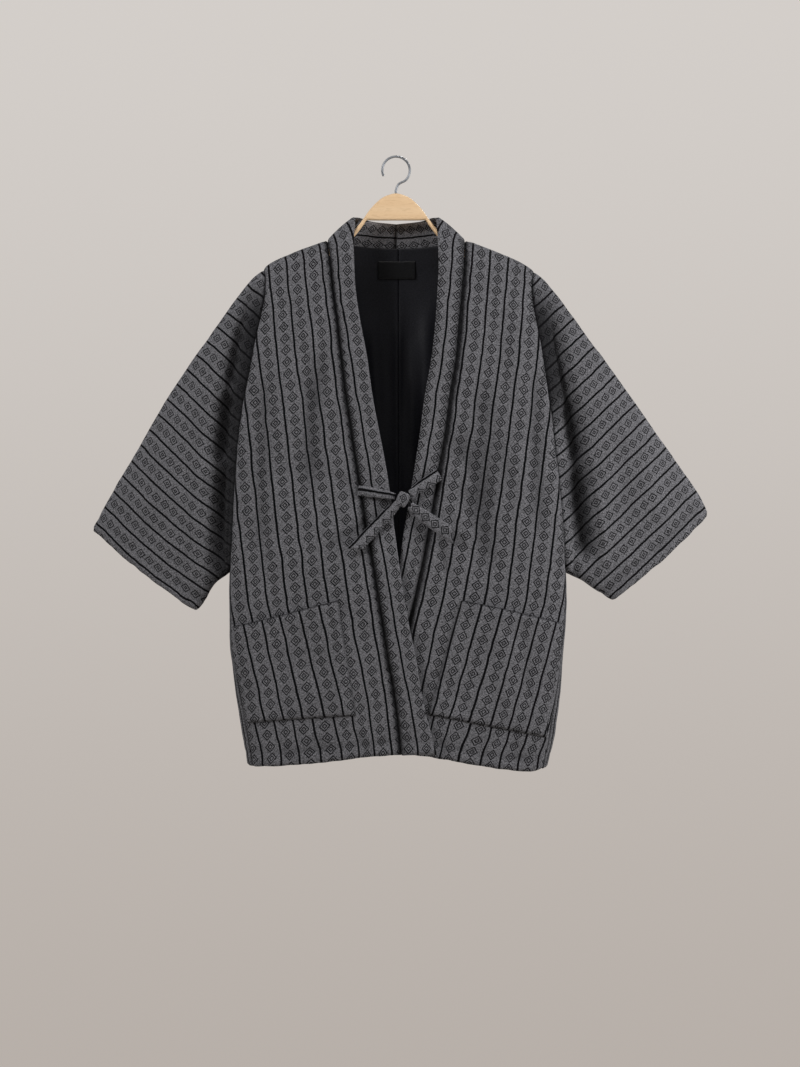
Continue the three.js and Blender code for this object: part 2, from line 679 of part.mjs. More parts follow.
function tieGrid(rows) {
  const points = rows.map((row, at) => ({ ...row, at }));
  const [x, z, wide, off] = ["x", "z", "wide", "off"].map((column) => curve(points, "at", column));
  const count = (rows.length - 1) * TIE_ROWS;
  return steps(count).map((t) => {
    const at = t * (rows.length - 1);
    const near = 0.01;
    const run = new THREE.Vector3(x(at + near) - x(at - near), 0, z(at + near) - z(at - near)).normalize();
    const across = new THREE.Vector3(-run.z, 0, run.x);
    const middle = new THREE.Vector3(x(at), COLLAR_FRONT - off(at) - lapAt(x(at), z(at)), z(at));
    return [-0.5, -0.25, 0, 0.25, 0.5].map((part) => {
      const point = middle.clone().addScaledVector(across, part * wide(at));
      point.y -= (1 - 4 * part * part) * 1.2;
      return point;
    });
  });
}

for (const [name, rows] of Object.entries(ties)) add(name, wall(tieGrid(rows), TIE), "cloth");

const knot = new THREE.SphereGeometry(0.5, 14, 10);
knot.scale(KNOT.wide, KNOT.thick, KNOT.tall);
knot.translate(KNOT.x, COLLAR_FRONT - 6, KNOT.z);
add("tie_knot", knot, "cloth");

// ---------------------------------------------------------------- lining and label inside the back

const LINING_FOOT = -640; // the lining is made as far down as the open front shows it
const CENTRE_SEAM = 4; // the lining's seam is a little to the wearer's left of the middle

function liningGrid(fromX, toX) {
  const rows = 10;
  const away = PADDED / 2 + ON_TOP + LINING / 2;
  return steps(rows).map((down) => steps(4).map((across) => {
    const wanted = mix(fromX, toX, across);
    const top = ridgeAt(Math.abs(wanted)) - PADDED / 2 - neckDropAt(Math.abs(wanted)) - 6;
    const z = mix(top, LINING_FOOT, down ** 1.3);
    const narrow = mix(1, 0.35, down);
    const x = CENTRE_SEAM + (wanted - CENTRE_SEAM) * narrow;
    const slope = (backY(x, z + 1) - backY(x, z - 1)) / 2;
    const lean = Math.hypot(1, slope);
    return new THREE.Vector3(x, backY(x, z) - away * lean, z);
  }));
}

add("lining_right", wall(liningGrid(CENTRE_SEAM - SEAM / 2, -92), LINING), "lining");
add("lining_left", wall(liningGrid(CENTRE_SEAM + SEAM / 2, 92), LINING), "lining");

const labelGrid = steps(2).map((down) => steps(4).map((across) => {
  const x = mix(-28, 30, across);
  const z = mix(-158, -184, down);
  const away = PADDED / 2 + ON_TOP + LINING + ON_TOP + LABEL / 2;
  return new THREE.Vector3(x, backY(x, z) - away - ON_TOP, z);
}));
add("label", wall(labelGrid, LABEL), "label");

// ---------------------------------------------------------------- hanger

function hangerOutline() {
  const outline = new THREE.Shape();
  const right = hangerWood.map(({ out, top }) => [out, top]);
  const under = hangerWood.map(({ out, low }) => [out, low]).reverse();
  const half = [...right, ...under];
  const mirrored = [...half].reverse().map(([out, z]) => [-out, z]);
  [...half, ...mirrored].forEach(([x, z], i) => (i ? outline.lineTo(x, z) : outline.moveTo(x, z)));
  outline.closePath();
  return outline;
}

const WOOD_ROUND = 2.5;
const wood = new THREE.ExtrudeGeometry(hangerOutline(), {
  depth: HANGER_THICK - 2 * WOOD_ROUND,
  bevelThickness: WOOD_ROUND,
  bevelSize: WOOD_ROUND,
  bevelOffset: -WOOD_ROUND,
  bevelSegments: 2,
  steps: 1,
});
wood.translate(0, 0, -HANGER_THICK / 2 + WOOD_ROUND);
wood.rotateX(Math.PI / 2);
add("hanger_wood", wood, "wood");

// The hook: up from the wood, out to one side, round over the top and down to its open end.
function hookCurve() {
  const radius = HOOK_INSIDE + HOOK_WIRE / 2;
  const points = [
    new THREE.Vector3(0, 0, WOOD_TOP + SEAM),
    new THREE.Vector3(0, 0, WOOD_TOP + 6),
    new THREE.Vector3(4, 0, WOOD_TOP + 15),
  ];
  for (let degrees = -50; degrees <= 205; degrees += 15) {
    const angle = THREE.MathUtils.degToRad(degrees);
    points.push(new THREE.Vector3(radius * Math.cos(angle), 0, -HOOK_INSIDE + radius * Math.sin(angle)));
  }
  return new THREE.CatmullRomCurve3(points);
}

const wireRound = new THREE.Shape();
wireRound.absarc(0, 0, HOOK_WIRE / 2, 0, 2 * Math.PI, false);
const hook = new THREE.ExtrudeGeometry(wireRound, { steps: 44, curveSegments: 4, extrudePath: hookCurve() });
add("hanger_hook", hook, "steel");

export default hanten;
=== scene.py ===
import math

import bmesh
import bpy
import numpy as np
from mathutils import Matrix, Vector, noise


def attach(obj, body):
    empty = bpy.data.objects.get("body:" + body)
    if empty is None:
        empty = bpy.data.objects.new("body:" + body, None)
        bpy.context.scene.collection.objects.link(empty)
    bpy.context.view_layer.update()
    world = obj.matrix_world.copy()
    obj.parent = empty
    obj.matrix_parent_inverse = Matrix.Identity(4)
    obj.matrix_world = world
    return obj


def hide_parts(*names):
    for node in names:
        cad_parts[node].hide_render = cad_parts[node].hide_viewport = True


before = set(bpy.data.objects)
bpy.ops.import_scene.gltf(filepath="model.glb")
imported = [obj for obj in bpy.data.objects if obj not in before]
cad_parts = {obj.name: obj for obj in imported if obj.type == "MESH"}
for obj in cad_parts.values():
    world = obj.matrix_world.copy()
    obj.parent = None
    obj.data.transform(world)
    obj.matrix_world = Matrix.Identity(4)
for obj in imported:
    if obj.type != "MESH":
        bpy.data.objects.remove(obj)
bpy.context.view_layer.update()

# A padded hanten jacket on a wooden hanger. Tables and lengths are in millimetres, and meshes in
# metres. The front faces -Y. "right" is the wearer's right, at x < 0.

# ---------------------------------------------------------------- sizes

PADDED = 6.0  # the wall of the body and the sleeves
COLLAR_MIDDLE = 9.5  # the collar's wall in the middle of its width
TIE = 4.5
LINING = 1.5
LABEL = 1.0
SEAM = 0.4  # what stays open between two sewn pieces
ON_TOP = 0.8  # between a piece and the one it lies on
ARMHOLE_GAP = 1.1
RIDGE_RADIUS = 11.0  # how round the body is over the shoulders
BODY_DEPTH = 37.0  # from the shoulder line forward and back, and how slowly it is reached
DEPTH_GROWTH = 110.0
SIDE_DEPTH = 22.0  # the same at the side seams
SIDE_GROWTH = 60.0
SIDE_TURN = 35.0  # how wide the round from a front to the side is
NECK_DROP = 42.0  # the back neck: how deep it dips, half its width, and how far it stands out
NECK_HALF = 104.0
NECK_BULGE = 15.0
LAP = 12.5  # how far the right front stands over the left one
UNDERARM = -626.0
SHOULDER_END = 6.0  # how far the shoulder falls where it rounds to the armhole
STRIPE = 28.0  # from one dark line to the next across the cloth
SIDES = {"right": -1, "left": 1}

# ---------------------------------------------------------------- outlines

# Height, the body's right and left edges, and how much of the gusset shows beyond them.
BODY_SIDES = [
    (-160, -199, 208, 0),
    (-206, -200, 208, 0),
    (-228, -203, 210, 0),
    (-277, -214, 219, 0),
    (-322, -222, 226, 0),
    (-386, -234, 235, 0),
    (-452, -241, 243, 0),
    (-532, -246, 251, 0),
    (-622, -250, 256, 0),
    (-685, -251, 257, 1),
    (-737, -250, 253, 2),
    (-779, -245, 250, 4),
    (-832, -238, 245, 7),
    (-870, -232, 240, 8),
    (-915, -223, 229, 6),
]

# Height, then the collar's seam and its folded edge on the right, then the same on the left.
COLLAR_LINES = [
    (-125, -104, -65, 104, 63),
    (-160, -98, -63, 103, 64),
    (-205, -93, -60, 99, 62),
    (-250, -87, -53, 95, 59),
    (-304, -81, -43, 90, 53),
    (-361, -74, -35, 81, 43),
    (-414, -66, -25, 74, 36),
    (-460, -59, -16, 66, 29),
    (-510, -51, -8, 58, 21),
    (-562, -43, -2, 49, 12),
    (-620, -32, 6, 38, 4),
    (-660, -26, 12, 29, -4),
    (-701, -19, 19, 19, -12),
    (-754, -11, 30, 8, -22),
    (-792, -4, 36, 1, -30),
    (-834, 2, 44, -6, -39),
    (-870, 6, 54, -12, -49),
    (-905, 9, 63, -18, -60),
]

# The collar's folded edge round the neck, from the centre back: part, out, y, z.
NECK_EDGE = [(0, 0, 27, -98), (0.4, 36, 22, -94.5), (0.75, 54, 12, -90), (1, 61, 1, -91)]

# The line of the shoulders: out, z.
SHOULDER_RIDGE = [
    (0, -107),
    (60, -116),
    (104, -125.5),
    (137, -136.5),
    (163, -147),
    (189, -158.5),
    (210, -168.5),
]

HEM_LINE = [
    (-228, -911),
    (-215, -916),
    (-175, -915),
    (-110, -910),
    (-40, -901),
    (0, -898),
    (42, -901),
    (94, -910),
    (150, -919),
    (205, -923),
    (232, -916),
]

# The folds of each sleeve, from the armhole (0) to the cuff (1): along, top x and z, low x and z.
SLEEVE_FOLDS = {
    "right": [
        (0.0, -199, -170, -250, -623),
        (0.1, -227, -201, -256, -627),
        (0.3, -283, -279, -272, -638),
        (0.5, -337, -357, -282, -651),
        (0.75, -397, -460, -291, -668),
        (0.93, -441, -534, -301, -678),
        (1.0, -455, -563, -306, -681),
    ],
    "left": [
        (0.0, 208, -173, 256, -623),
        (0.1, 235, -204, 266, -628),
        (0.3, 289, -277, 281, -635),
        (0.5, 343, -351, 295, -644),
        (0.75, 409, -445, 312, -655),
        (0.93, 456, -513, 325, -663),
        (1.0, 469, -541, 330, -666),
    ],
}
SLEEVE_DEPTH = [(0, 24), (0.1, 17), (0.25, 19), (0.5, 20), (0.8, 16), (1, 14)]

# Soft troughs: x and z of both ends, half width, and depth. A ridge has a negative depth.
FRONT_TROUGHS = [
    (-131, -285, -128, -520, 17, 5),
    (-196, -300, -206, -640, 13, 4),
    (128, -330, 138, -560, 18, 4),
    (205, -290, 214, -600, 13, 4),
    (-104, -275, -124, -390, 9, 2.5),
    (-125, -215, -176, -470, 20, -3),
    (-172, -480, -176, -640, 24, -2.5),
    (-112, -592, -34, -545, 9, 3),
    (-96, -480, -60, -500, 8, 2.5),
    (-92, -520, -66, -548, 6, -2),
    (-78, -650, -122, -815, 14, 3),
    (-150, -690, -190, -830, 16, 2),
    (84, -389, 148, -640, 20, 4.5),
    (92, -455, 112, -510, 9, -2.5),
    (172, -200, 190, -420, 16, -2.5),
    (152, -410, 170, -520, 12, 2),
    (178, -420, 196, -620, 12, -2),
    (84, -520, 112, -585, 7, -2),
    (60, -560, 78, -640, 6, 2.5),
    (158, -700, 160, -830, 10, -2.5),
    (186, -690, 196, -840, 10, 2.5),
    (118, -720, 96, -840, 14, 2.5),
    (60, -765, 106, -840, 10, 2.5),
    (-60, -860, -40, -900, 8, 2.5),
    (-120, -868, -112, -908, 9, 2),
    (-168, -872, -166, -912, 9, 2),
    (66, -868, 74, -904, 8, 2.5),
    (124, -872, 130, -914, 10, 2),
    (176, -876, 180, -918, 9, 2),
]
BACK_TROUGHS = [
    (-120, -260, -112, -640, 20, 5),
    (126, -300, 120, -700, 20, 5),
    (-40, -670, -34, -870, 24, 4),
    (-170, -330, -190, -620, 16, 3.5),
    (182, -300, 196, -640, 16, 3),
    (-62, -240, -74, -520, 18, -3),
    (58, -330, 46, -640, 20, -3),
    (70, -700, 92, -880, 14, 3),
    (-150, -690, -160, -870, 16, -2.5),
    (160, -740, 150, -890, 12, -2.5),
    (-96, -850, -92, -908, 9, 2.5),
    (20, -850, 18, -898, 9, 2.5),
    (124, -860, 128, -914, 9, 2.5),
    (-190, -860, -186, -912, 9, 2),
]

# The same for each sleeve's front, and for its back.
SLEEVE_TROUGHS = {
    "right": [
        (-214, -196, -232, -262, 11, 11),
        (-229, -245, -252, -360, 15, 19),
        (-249, -345, -259, -470, 18, 23),
        (-256, -450, -262, -640, 17, 22),
        (-300, -330, -318, -640, 12, 3),
        (-345, -420, -360, -560, 18, -3),
        (-372, -520, -392, -600, 12, 2),
        (-300, -560, -336, -660, 10, 2.5),
    ],
    "left": [
        (218, -190, 238, -270, 11, 10),
        (232, -250, 258, -370, 13, 17),
        (254, -350, 274, -470, 15, 22),
        (268, -450, 288, -620, 18, 23),
        (300, -480, 318, -640, 9, -4),
        (334, -400, 352, -600, 14, 2.5),
        (372, -420, 400, -560, 16, -3),
        (424, -500, 440, -560, 10, 2),
    ],
}
SLEEVE_BACK_TROUGHS = {
    "right": [
        (-290, -360, -306, -640, 13, 5),
        (-318, -380, -338, -620, 14, -3),
        (-362, -450, -384, -600, 12, -2.5),
        (-392, -470, -410, -570, 12, 2.5),
    ],
    "left": [
        (300, -350, 318, -620, 13, 5),
        (338, -360, 352, -610, 14, -3),
        (384, -440, 402, -570, 12, -2.5),
        (410, -450, 428, -560, 12, 2.5),
    ],
}

# Corners of each pocket: outer top, inner top, inner low, outer low. Then how the mouth bows up.
POCKETS = {
    "right": ((-242, -706), (-86, -666), (-60, -839), (-219, -850), -1),
    "left": ((247, -701), (98, -667), (48, -838), (223, -872), 2),
}

# Each tie's middle line: x, z, width, and how far it stands off the collar.
TIES = {
    "tie_right_strap": [
        (-57, -502.5, 15, -3),
        (-38, -505.5, 15, 1),
        (-18, -508.5, 13, 2.5),
        (-1, -511.5, 9, 6),
    ],
    "tie_left_strap": [
        (65, -478, 18, -3),
        (48, -489.5, 18, 1),
        (34, -499, 15, 3),
        (21, -508, 11, 6),
    ],
    "tie_right_tail": [
        (4, -521, 10, 7),
        (-10, -536, 16, 4),
        (-28, -555, 18, 2),
        (-46, -574, 18.5, 3),
        (-61, -590, 19, 4),
    ],
    "tie_left_tail": [
        (21, -525, 12, 7),
        (36, -537, 18, 4),
        (54, -549.5, 20, 2),
        (71, -560.5, 20.5, 3),
        (84, -569, 20.5, 4),
    ],
}

# The hanger's wood, from its middle outwards: out, top, low.
HANGER_WOOD = [
    (0, -54, -94.5),
    (6, -54.8, -94.5),
    (15.5, -58, -94.5),
    (24, -63, -94.5),
    (38, -76.5, -94.5),
    (45, -86, -95),
    (49, -92, -101.5),
    (62, -108, -118),
    (80, -125, -136),
    (104, -138, -149),
    (140, -149, -160),
    (186, -170, -180),
    (191, -174, -178),
]

# ---------------------------------------------------------------- small helpers


def mix(a, b, t):
    return a + (b - a) * t


def smooth(t):
    c = np.clip(t, 0, 1)
    return c * c * (3 - 2 * c)


def bell(t):
    """One at zero, falling softly to nothing on both sides."""
    return np.exp(-(t**2))


def joined(*parts):
    """Points, from one array for each of their coordinates."""
    return np.stack(parts, axis=-1)


def unit(vectors):
    return vectors / np.maximum(np.linalg.norm(vectors, axis=-1, keepdims=True), 1e-9)


def curve(rows, column):
    """A smooth curve through one column of a table, read by its first, which only rises or only falls."""
    table = np.array(rows, float)
    if table[-1, 0] < table[0, 0]:
        table = table[::-1]
    at, value = table[:, 0], table[:, column]
    last = len(at) - 1
    before = np.maximum(np.arange(last + 1) - 1, 0)
    after = np.minimum(np.arange(last + 1) + 1, last)
    slope = (value[after] - value[before]) / (at[after] - at[before])

    def read(place):
        i = np.clip(np.searchsorted(at, place) - 1, 0, last - 1)
        span = at[i + 1] - at[i]
        t = np.clip((place - at[i]) / span, 0, 1)
        bend = t * (1 - t) * span * (slope[i] * (1 - t) - slope[i + 1] * t)
        return mix(value[i], value[i + 1], smooth(t)) + bend

    return read


def curves(rows):
    """Smooth curves through all the other columns of a table."""
    return [curve(rows, column) for column in range(1, len(rows[0]))]


def through(rows):
    """Smooth curves through a list of places, read by the number of the place."""
    return curves([(number, *row) for number, row in enumerate(rows)])


def troughs(rows, x, z):
    """How deep the soft troughs are at a place."""
    total = np.zeros(np.broadcast(x, z).shape)
    for x0, z0, x1, z1, wide, deep in rows:
        run_x, run_z = x1 - x0, z1 - z0
        t = ((x - x0) * run_x + (z - z0) * run_z) / (run_x**2 + run_z**2)
        near = np.clip(t, 0, 1)
        away = np.hypot(x - x0 - near * run_x, z - z0 - near * run_z) / wide
        total += deep * smooth(np.minimum(t, 1 - t) * 4 + 0.1) * bell(away)
    return total


def cloud(x, y, size, seed):
    """Soft noise from about -1 to 1 over two coordinates."""
    x, y = np.broadcast_arrays(x, y)
    values = [noise.noise(Vector((a / size, b / size, seed))) for a, b in zip(x.ravel(), y.ravel())]
    return np.array(values).reshape(x.shape) * 1.6


# ---------------------------------------------------------------- the body's form

ridge_at, hem_at = curve(SHOULDER_RIDGE, 1), curve(HEM_LINE, 1)
gusset_at = curve(BODY_SIDES, 3)
side_at = {"right": curve(BODY_SIDES, 1), "left": curve(BODY_SIDES, 2)}
seam_at = {"right": curve(COLLAR_LINES, 1), "left": curve(COLLAR_LINES, 3)}
edge_at = {"right": curve(COLLAR_LINES, 2), "left": curve(COLLAR_LINES, 4)}


def growth(drop, start, end, scale):
    """Depth below the shoulder ridge: round at the ridge, then slowly up to its full value."""
    t = np.clip(1 - drop / RIDGE_RADIUS, 0, 1)
    return np.sqrt(1 - t * t) * mix(start, end, 1 - np.exp(-np.maximum(drop, 0) / scale))


def flat_depth(drop):
    return growth(drop, RIDGE_RADIUS, BODY_DEPTH, DEPTH_GROWTH)


def side_depth(drop):
    return growth(drop, RIDGE_RADIUS, SIDE_DEPTH, SIDE_GROWTH)


def drop_at(x, z):
    """How far a place lies below the middle of the wall on the shoulder ridge."""
    return ridge_at(np.abs(x)) - PADDED / 2 - z


def lap_at(side, x, z):
    """How far a front stands forward: the right one laps over the left one."""
    return LAP * smooth((-z - 500) / 130) * smooth((x + 175) / 115) if side == "right" else 0


def front_y(side, x, z):
    return -flat_depth(drop_at(x, z)) - lap_at(side, x, z) + troughs(FRONT_TROUGHS, x, z)


def back_y(x, z):
    drop = drop_at(x, z)
    bulge = NECK_BULGE * np.maximum(0, 1 - (x / 130) ** 2) * growth(drop, 1, 1, 1)
    fade = np.exp(-np.maximum(0, drop - NECK_DROP) / 150)
    return flat_depth(drop) + bulge * fade - troughs(BACK_TROUGHS, x, z)


def body_side_x(side, z, drop):
    """Middle of the wall at the side seam."""
    return side_at[side](z) - SIDES[side] * (gusset_at(z) + PADDED / 2 * smooth(drop / 20))


def neck_drop_at(out):
    return NECK_DROP * np.sqrt(np.maximum(0, 1 - (out / NECK_HALF) ** 2))


# Parts of a panel's grid: the flat columns, the columns within the neck, and the rows on the ridge.
FLAT_PART = 0.78
NECK_PART = 0.55
RIDGE_PART = 0.045
# How the rows draw together, over the ridge and below it.
RIDGE_POWER = 1.6
FALL_POWER = 1.08
WELL_DOWN = 100.0  # a drop at which the side seam has its full width


def panel(side, face, across, down):
    """Middle points of a front or a back, for grids of parts across (from inside) and down."""
    sign = SIDES[side]
    is_front = face == "front"
    way = -1 if is_front else 1
    flat_end = abs(float(body_side_x(side, ridge_at(SHOULDER_RIDGE[-1][0]), 0.0))) - SIDE_TURN
    t = np.minimum(across / FLAT_PART, 1)
    angle = np.clip((across - FLAT_PART) / (1 - FLAT_PART), 0, 1) * math.pi / 2
    turned_out = SIDE_TURN * np.sin(angle)
    if is_front:
        inside_top, hem_inside = NECK_HALF, float(seam_at[side](COLLAR_LINES[-1][0]))
        out = mix(NECK_HALF, flat_end, t)
    else:
        inside_top, hem_inside = 0.0, 0.0
        neck = NECK_HALF * np.sin(np.minimum(t / NECK_PART, 1) * math.pi / 2)
        out = neck + (flat_end - NECK_HALF) * np.maximum(t - NECK_PART, 0) / (1 - NECK_PART)
    out = out + turned_out
    part = np.minimum((out - inside_top) / (flat_end - inside_top), 1)
    top = ridge_at(out) - PADDED / 2 - (0 if is_front else neck_drop_at(out))
    top = top - SHOULDER_END * (1 - np.cos(angle))
    hem_side = float(body_side_x(side, BODY_SIDES[-1][0], WELL_DOWN)) - sign * SIDE_TURN
    hem_x = np.where(angle > 0, hem_side + sign * turned_out, mix(hem_inside, hem_side, part))
    low_part = np.maximum(down - RIDGE_PART, 0) / (1 - RIDGE_PART)
    fall = np.where(
        down < RIDGE_PART,
        RIDGE_RADIUS * (down / RIDGE_PART) ** RIDGE_POWER,
        mix(RIDGE_RADIUS, top - hem_at(hem_x), low_part**FALL_POWER),
    )
    z = top - fall
    drop = drop_at(out, z)
    inside = seam_at[side](z[:, :1]) + sign * SEAM if is_front else sign * SEAM / 2
    flat_x = body_side_x(side, z, drop) - sign * SIDE_TURN
    x = np.where(angle > 0, flat_x + sign * turned_out, mix(inside, flat_x, part))
    flat_y = front_y(side, x, z) if is_front else back_y(x, z)
    y = mix(flat_y, way * side_depth(drop), 1 - np.cos(angle))
    y = np.where((down == 0) & (out >= NECK_HALF), way * SEAM / 2, y)
    return joined(x, y, z)


# ---------------------------------------------------------------- building pieces from grids


def steps(count):
    return np.linspace(0, 1, count + 1)


def close_ends(count):
    """Parts from 0 to 1 that lie closer together at both ends."""
    return (1 - np.cos(steps(count) * math.pi)) / 2


def grid_of(columns, rows):
    """Parts across and down for every point of a grid."""
    return np.meshgrid(columns, rows)


def lengths(points, axis, parts=(0, 1, 2)):
    """Distance along each row (axis 1) or column (axis 0) from its first point."""
    step = np.linalg.norm(np.diff(points[..., list(parts)], axis=axis), axis=-1)
    start = np.zeros_like(np.take(step, [0], axis=axis))
    return np.concatenate([start, np.cumsum(step, axis=axis)], axis=axis)


def normals_of(points, ring=False):
    if ring:
        open_row = points[:, :-1]
        across = np.roll(open_row, -1, 1) - np.roll(open_row, 1, 1)
        across = np.concatenate([across, across[:, :1]], axis=1)
    else:
        across = np.gradient(points, axis=1)
    return unit(np.cross(across, np.gradient(points, axis=0)))


def round_edge(distance, reach):
    """Thickness near a rounded edge, as a part of the full one."""
    t = 1 - np.clip(distance / reach, 0, 1)
    return np.maximum(np.sqrt(1 - t * t), 0.1)


# What each kind of edge does to the cloth beside it: how far its rounding reaches; how high it
# lifts, how much the puckers add and over what half width; then how strong the painted shade
# beside it is, how much the puckers add and over what half width. A tuck is thinned in a way of its own.
EDGES = {
    "tuck": (0, -0.5, 0.12, 7, 0.9, 0, 3),
    "seam": (8, -1.3, 0, 4.5, 1, 0, 4.4),
    "laid": (5, 0.22, 0.22, 6, 0.45, 0.35, 1.6),
    "join": (5, -0.6, 0, 3, 0.75, 0, 1.5),
    "hem": (4.5, 0, 0.35, 15, 0, 0, 1),
    "fold": (4, 0, 0.3, 7, 0, 0, 1),
    "mouth": (4, 0, 0.2, 7, 0.95, 0, 1.7),
}
FOLDED = dict.fromkeys(("first", "last", "top", "foot"), "fold")
PUCKER = 7.5  # how long a pucker along a seam is
HEM_STITCH = 21.0  # from the hem's edge to its line of stitches


def soften(points, edges, outward=None, ring=False, seed=0.0, puff=0.7):
    """Soft padded cloth: seams pulled in and puckered, hems rolled, faces a little uneven.

    edges names the sewn and the free edges: first and last columns, top and foot rows.
    Returns the moved points, the thickness as a part of the full one, the painted shade of seams,
    folds and hems at each point, and whether faces are turned.
    """
    across, down = lengths(points, 1), lengths(points, 0)
    found = {
        "first": (across, down),
        "last": (across[:, -1:] - across, down),
        "top": (down, across),
        "foot": (down[-1:] - down, across),
    }
    normal = normals_of(points, ring)
    if ring:
        away = points - points[:, :-1].mean(axis=1, keepdims=True)
    else:
        away = np.broadcast_to(np.array(outward, float), points.shape)
    turned = float((normal * away).sum()) < 0
    if turned:
        normal = -normal
    x, z = points[..., 0], points[..., 2]
    lift = puff * (0.8 * cloud(x, z, 46, seed) + 0.45 * cloud(x, z, 17, seed + 7.3))
    full, deep, reach = np.ones(x.shape), np.zeros(x.shape), np.zeros(x.shape)
    for name, kind in edges.items():
        distance, along = found[name]
        # The last three numbers are the painted shade beside the edge.
        rounding, rise, rise_more, rise_wide, dark, painted_shade_more, painted_shade_wide = EDGES[kind]
        pucker = cloud(along, distance * 0.4, PUCKER, seed + 11.1 + len(name))
        thinned = mix(0.55, 1, smooth(distance / 7)) if kind == "tuck" else round_edge(distance, rounding)
        full = np.minimum(full, thinned)
        lift += (rise + rise_more * pucker) * bell(distance / rise_wide)
        if kind == "seam":
            lift += 0.9 * pucker * bell((distance - 5) / 6)
            painted_shade_wide = painted_shade_wide + 1.8 * pucker
        # The painted shade beside this edge.
        shade = (dark + painted_shade_more * pucker) * bell(distance / painted_shade_wide)
        if kind == "hem":
            slow = cloud(along, distance * 0.3, 19, seed + 3.7)
            groove = bell((distance - HEM_STITCH) / 5) * (1 + 0.6 * slow)
            lift += 0.9 * slow * bell(distance / rise_wide) - 0.8 * groove
            reach += (0.8 * slow + 0.25 * pucker) * bell(distance / 14)
            # Painted shade in the hem's groove.
            shade = np.clip(0.18 * groove, 0, 1)
        deep = np.maximum(deep, shade)
    onward = unit(np.gradient(points, axis=0))
    return points + normal * lift[..., None] + onward * reach[..., None], full, deep, turned


def in_scene(name, data):
    made = bpy.data.objects.new(name, data)
    bpy.context.scene.collection.objects.link(made)
    return made


def from_bmesh(name, bm):
    mesh = bpy.data.meshes.new(name)
    bm.to_mesh(mesh)
    bm.free()
    return in_scene(name, mesh)


def grid_mesh(name, points, uv, full, turned, ring, capped=False, shade=None):
    rows, columns = points.shape[:2]
    bm = bmesh.new()
    deform = bm.verts.layers.deform.verify()
    layer = bm.loops.layers.uv.new("cloth")
    # The deep layer carries the painted shade of seams and folds to the material.
    deep = bm.verts.layers.float.new("deep")
    bmesh.ops.create_grid(bm, x_segments=columns - 1, y_segments=rows - 1, size=1)
    flat = {}
    for vert in bm.verts:
        i = round((vert.co.y + 1) / 2 * (rows - 1))
        j = round((vert.co.x + 1) / 2 * (columns - 1))
        vert.co = points[i, j] / 1000
        vert[deform][0] = float(full[i, j])
        vert[deep] = 0.0 if shade is None else float(shade[i, j])
        flat[vert] = uv[i, j] / 1000
    for face in bm.faces:
        face.smooth = True
        for loop in face.loops:
            loop[layer].uv = flat[loop.vert]
    if turned:
        bmesh.ops.reverse_faces(bm, faces=bm.faces[:])
    if ring:
        bmesh.ops.remove_doubles(bm, verts=bm.verts[:], dist=1e-6)
    if capped:
        bmesh.ops.holes_fill(bm, edges=[edge for edge in bm.edges if edge.is_boundary])
        bmesh.ops.recalc_face_normals(bm, faces=bm.faces[:])
    piece = from_bmesh(name, bm)
    piece.vertex_groups.new(name="full")
    return piece


def ride(piece, node=None):
    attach(piece, "root")
    if node:
        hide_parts(node)
    return piece


def cloth(name, points, uv, thick, edges, finish, outward=(0, -1, 0), ring=False,
          seed=0.0, puff=0.7, across=None, inside=False, flat=None, folds=None):
    """One sewn piece: softened and given its thickness."""
    flat = flat or (lengths(points, 1).max() / 1000, lengths(points, 0).max() / 1000)
    moved, full, deep, turned = soften(points, edges, outward, ring, seed, puff)
    # folds adds painted shade on top of the painted shade beside the edges.
    if folds is not None:
        deep = np.clip(deep + folds, 0, 1)
    if across is not None:
        full = full * across
    piece = grid_mesh(name, moved, uv, full, turned, ring, shade=deep)
    wall = piece.modifiers.new("padding", "SOLIDIFY")
    wall.thickness = thick / 1000
    wall.offset = 0
    wall.vertex_group = "full"
    wall.thickness_vertex_group = 0.02
    if inside:
        wall.material_offset = 1
    for material in finish:
        piece.data.materials.append(material)
    ride(piece, name.removesuffix("_cloth"))
    return piece


# ---------------------------------------------------------------- patterns on the flat cloth


def unrolled(points, sign):
    """Where a point lies on the cut cloth, measured along its row and down its column."""
    along = lengths(points, 1, (0, 1))
    extra = along - np.abs(points[..., 0] - points[:, :1, 0])
    flat_z = points[:1, :, 2] - lengths(points, 0, (1, 2))
    return points[..., 0] + sign * extra, flat_z


# The stripes of the fronts: width from line to line, the first line from the collar seam, the slope
# of the rows of diamonds, and how the stripes lean out near the hem, evenly and more and more.
FRONT_PITCH = 28.4
FIRST_LINE = {"right": 15.0, "left": 12.0}
ROW_SLOPE = {"right": 0.145, "left": -0.155}
LOW_LEAN = {"right": (0.085, 0.00012), "left": (0.09, 0.00025)}
LEAN_FROM = -680.0
STRAIGHT_AT = -400.0  # the height at which the stripes don't fan


def front_uv(side, x, z, shift=0.0):
    sign = SIDES[side]
    seam = seam_at[side](z)
    away = sign * (x - seam)
    fan = 0.3 * np.clip(away / 150, 0, 1) * (seam - float(seam_at[side](STRAIGHT_AT)))
    low = np.maximum(LEAN_FROM - z, 0)
    lean = (LOW_LEAN[side][0] * low + LOW_LEAN[side][1] * low**2) * smooth(away / 110)
    u = (away + sign * fan + lean - FIRST_LINE[side] - shift) * STRIPE / FRONT_PITCH
    return joined(u * sign, ROW_SLOPE[side] * x - 0.99 * z)


# ---------------------------------------------------------------- materials

LINE_BLACK = (0.0028, 0.0027, 0.0033, 1)
GROUND_GREY = (0.124, 0.122, 0.131, 1)
PAINTED_SHADE_MOST = 0.94  # how dark the painted shade is at its strongest, in seams, folds and beside the body
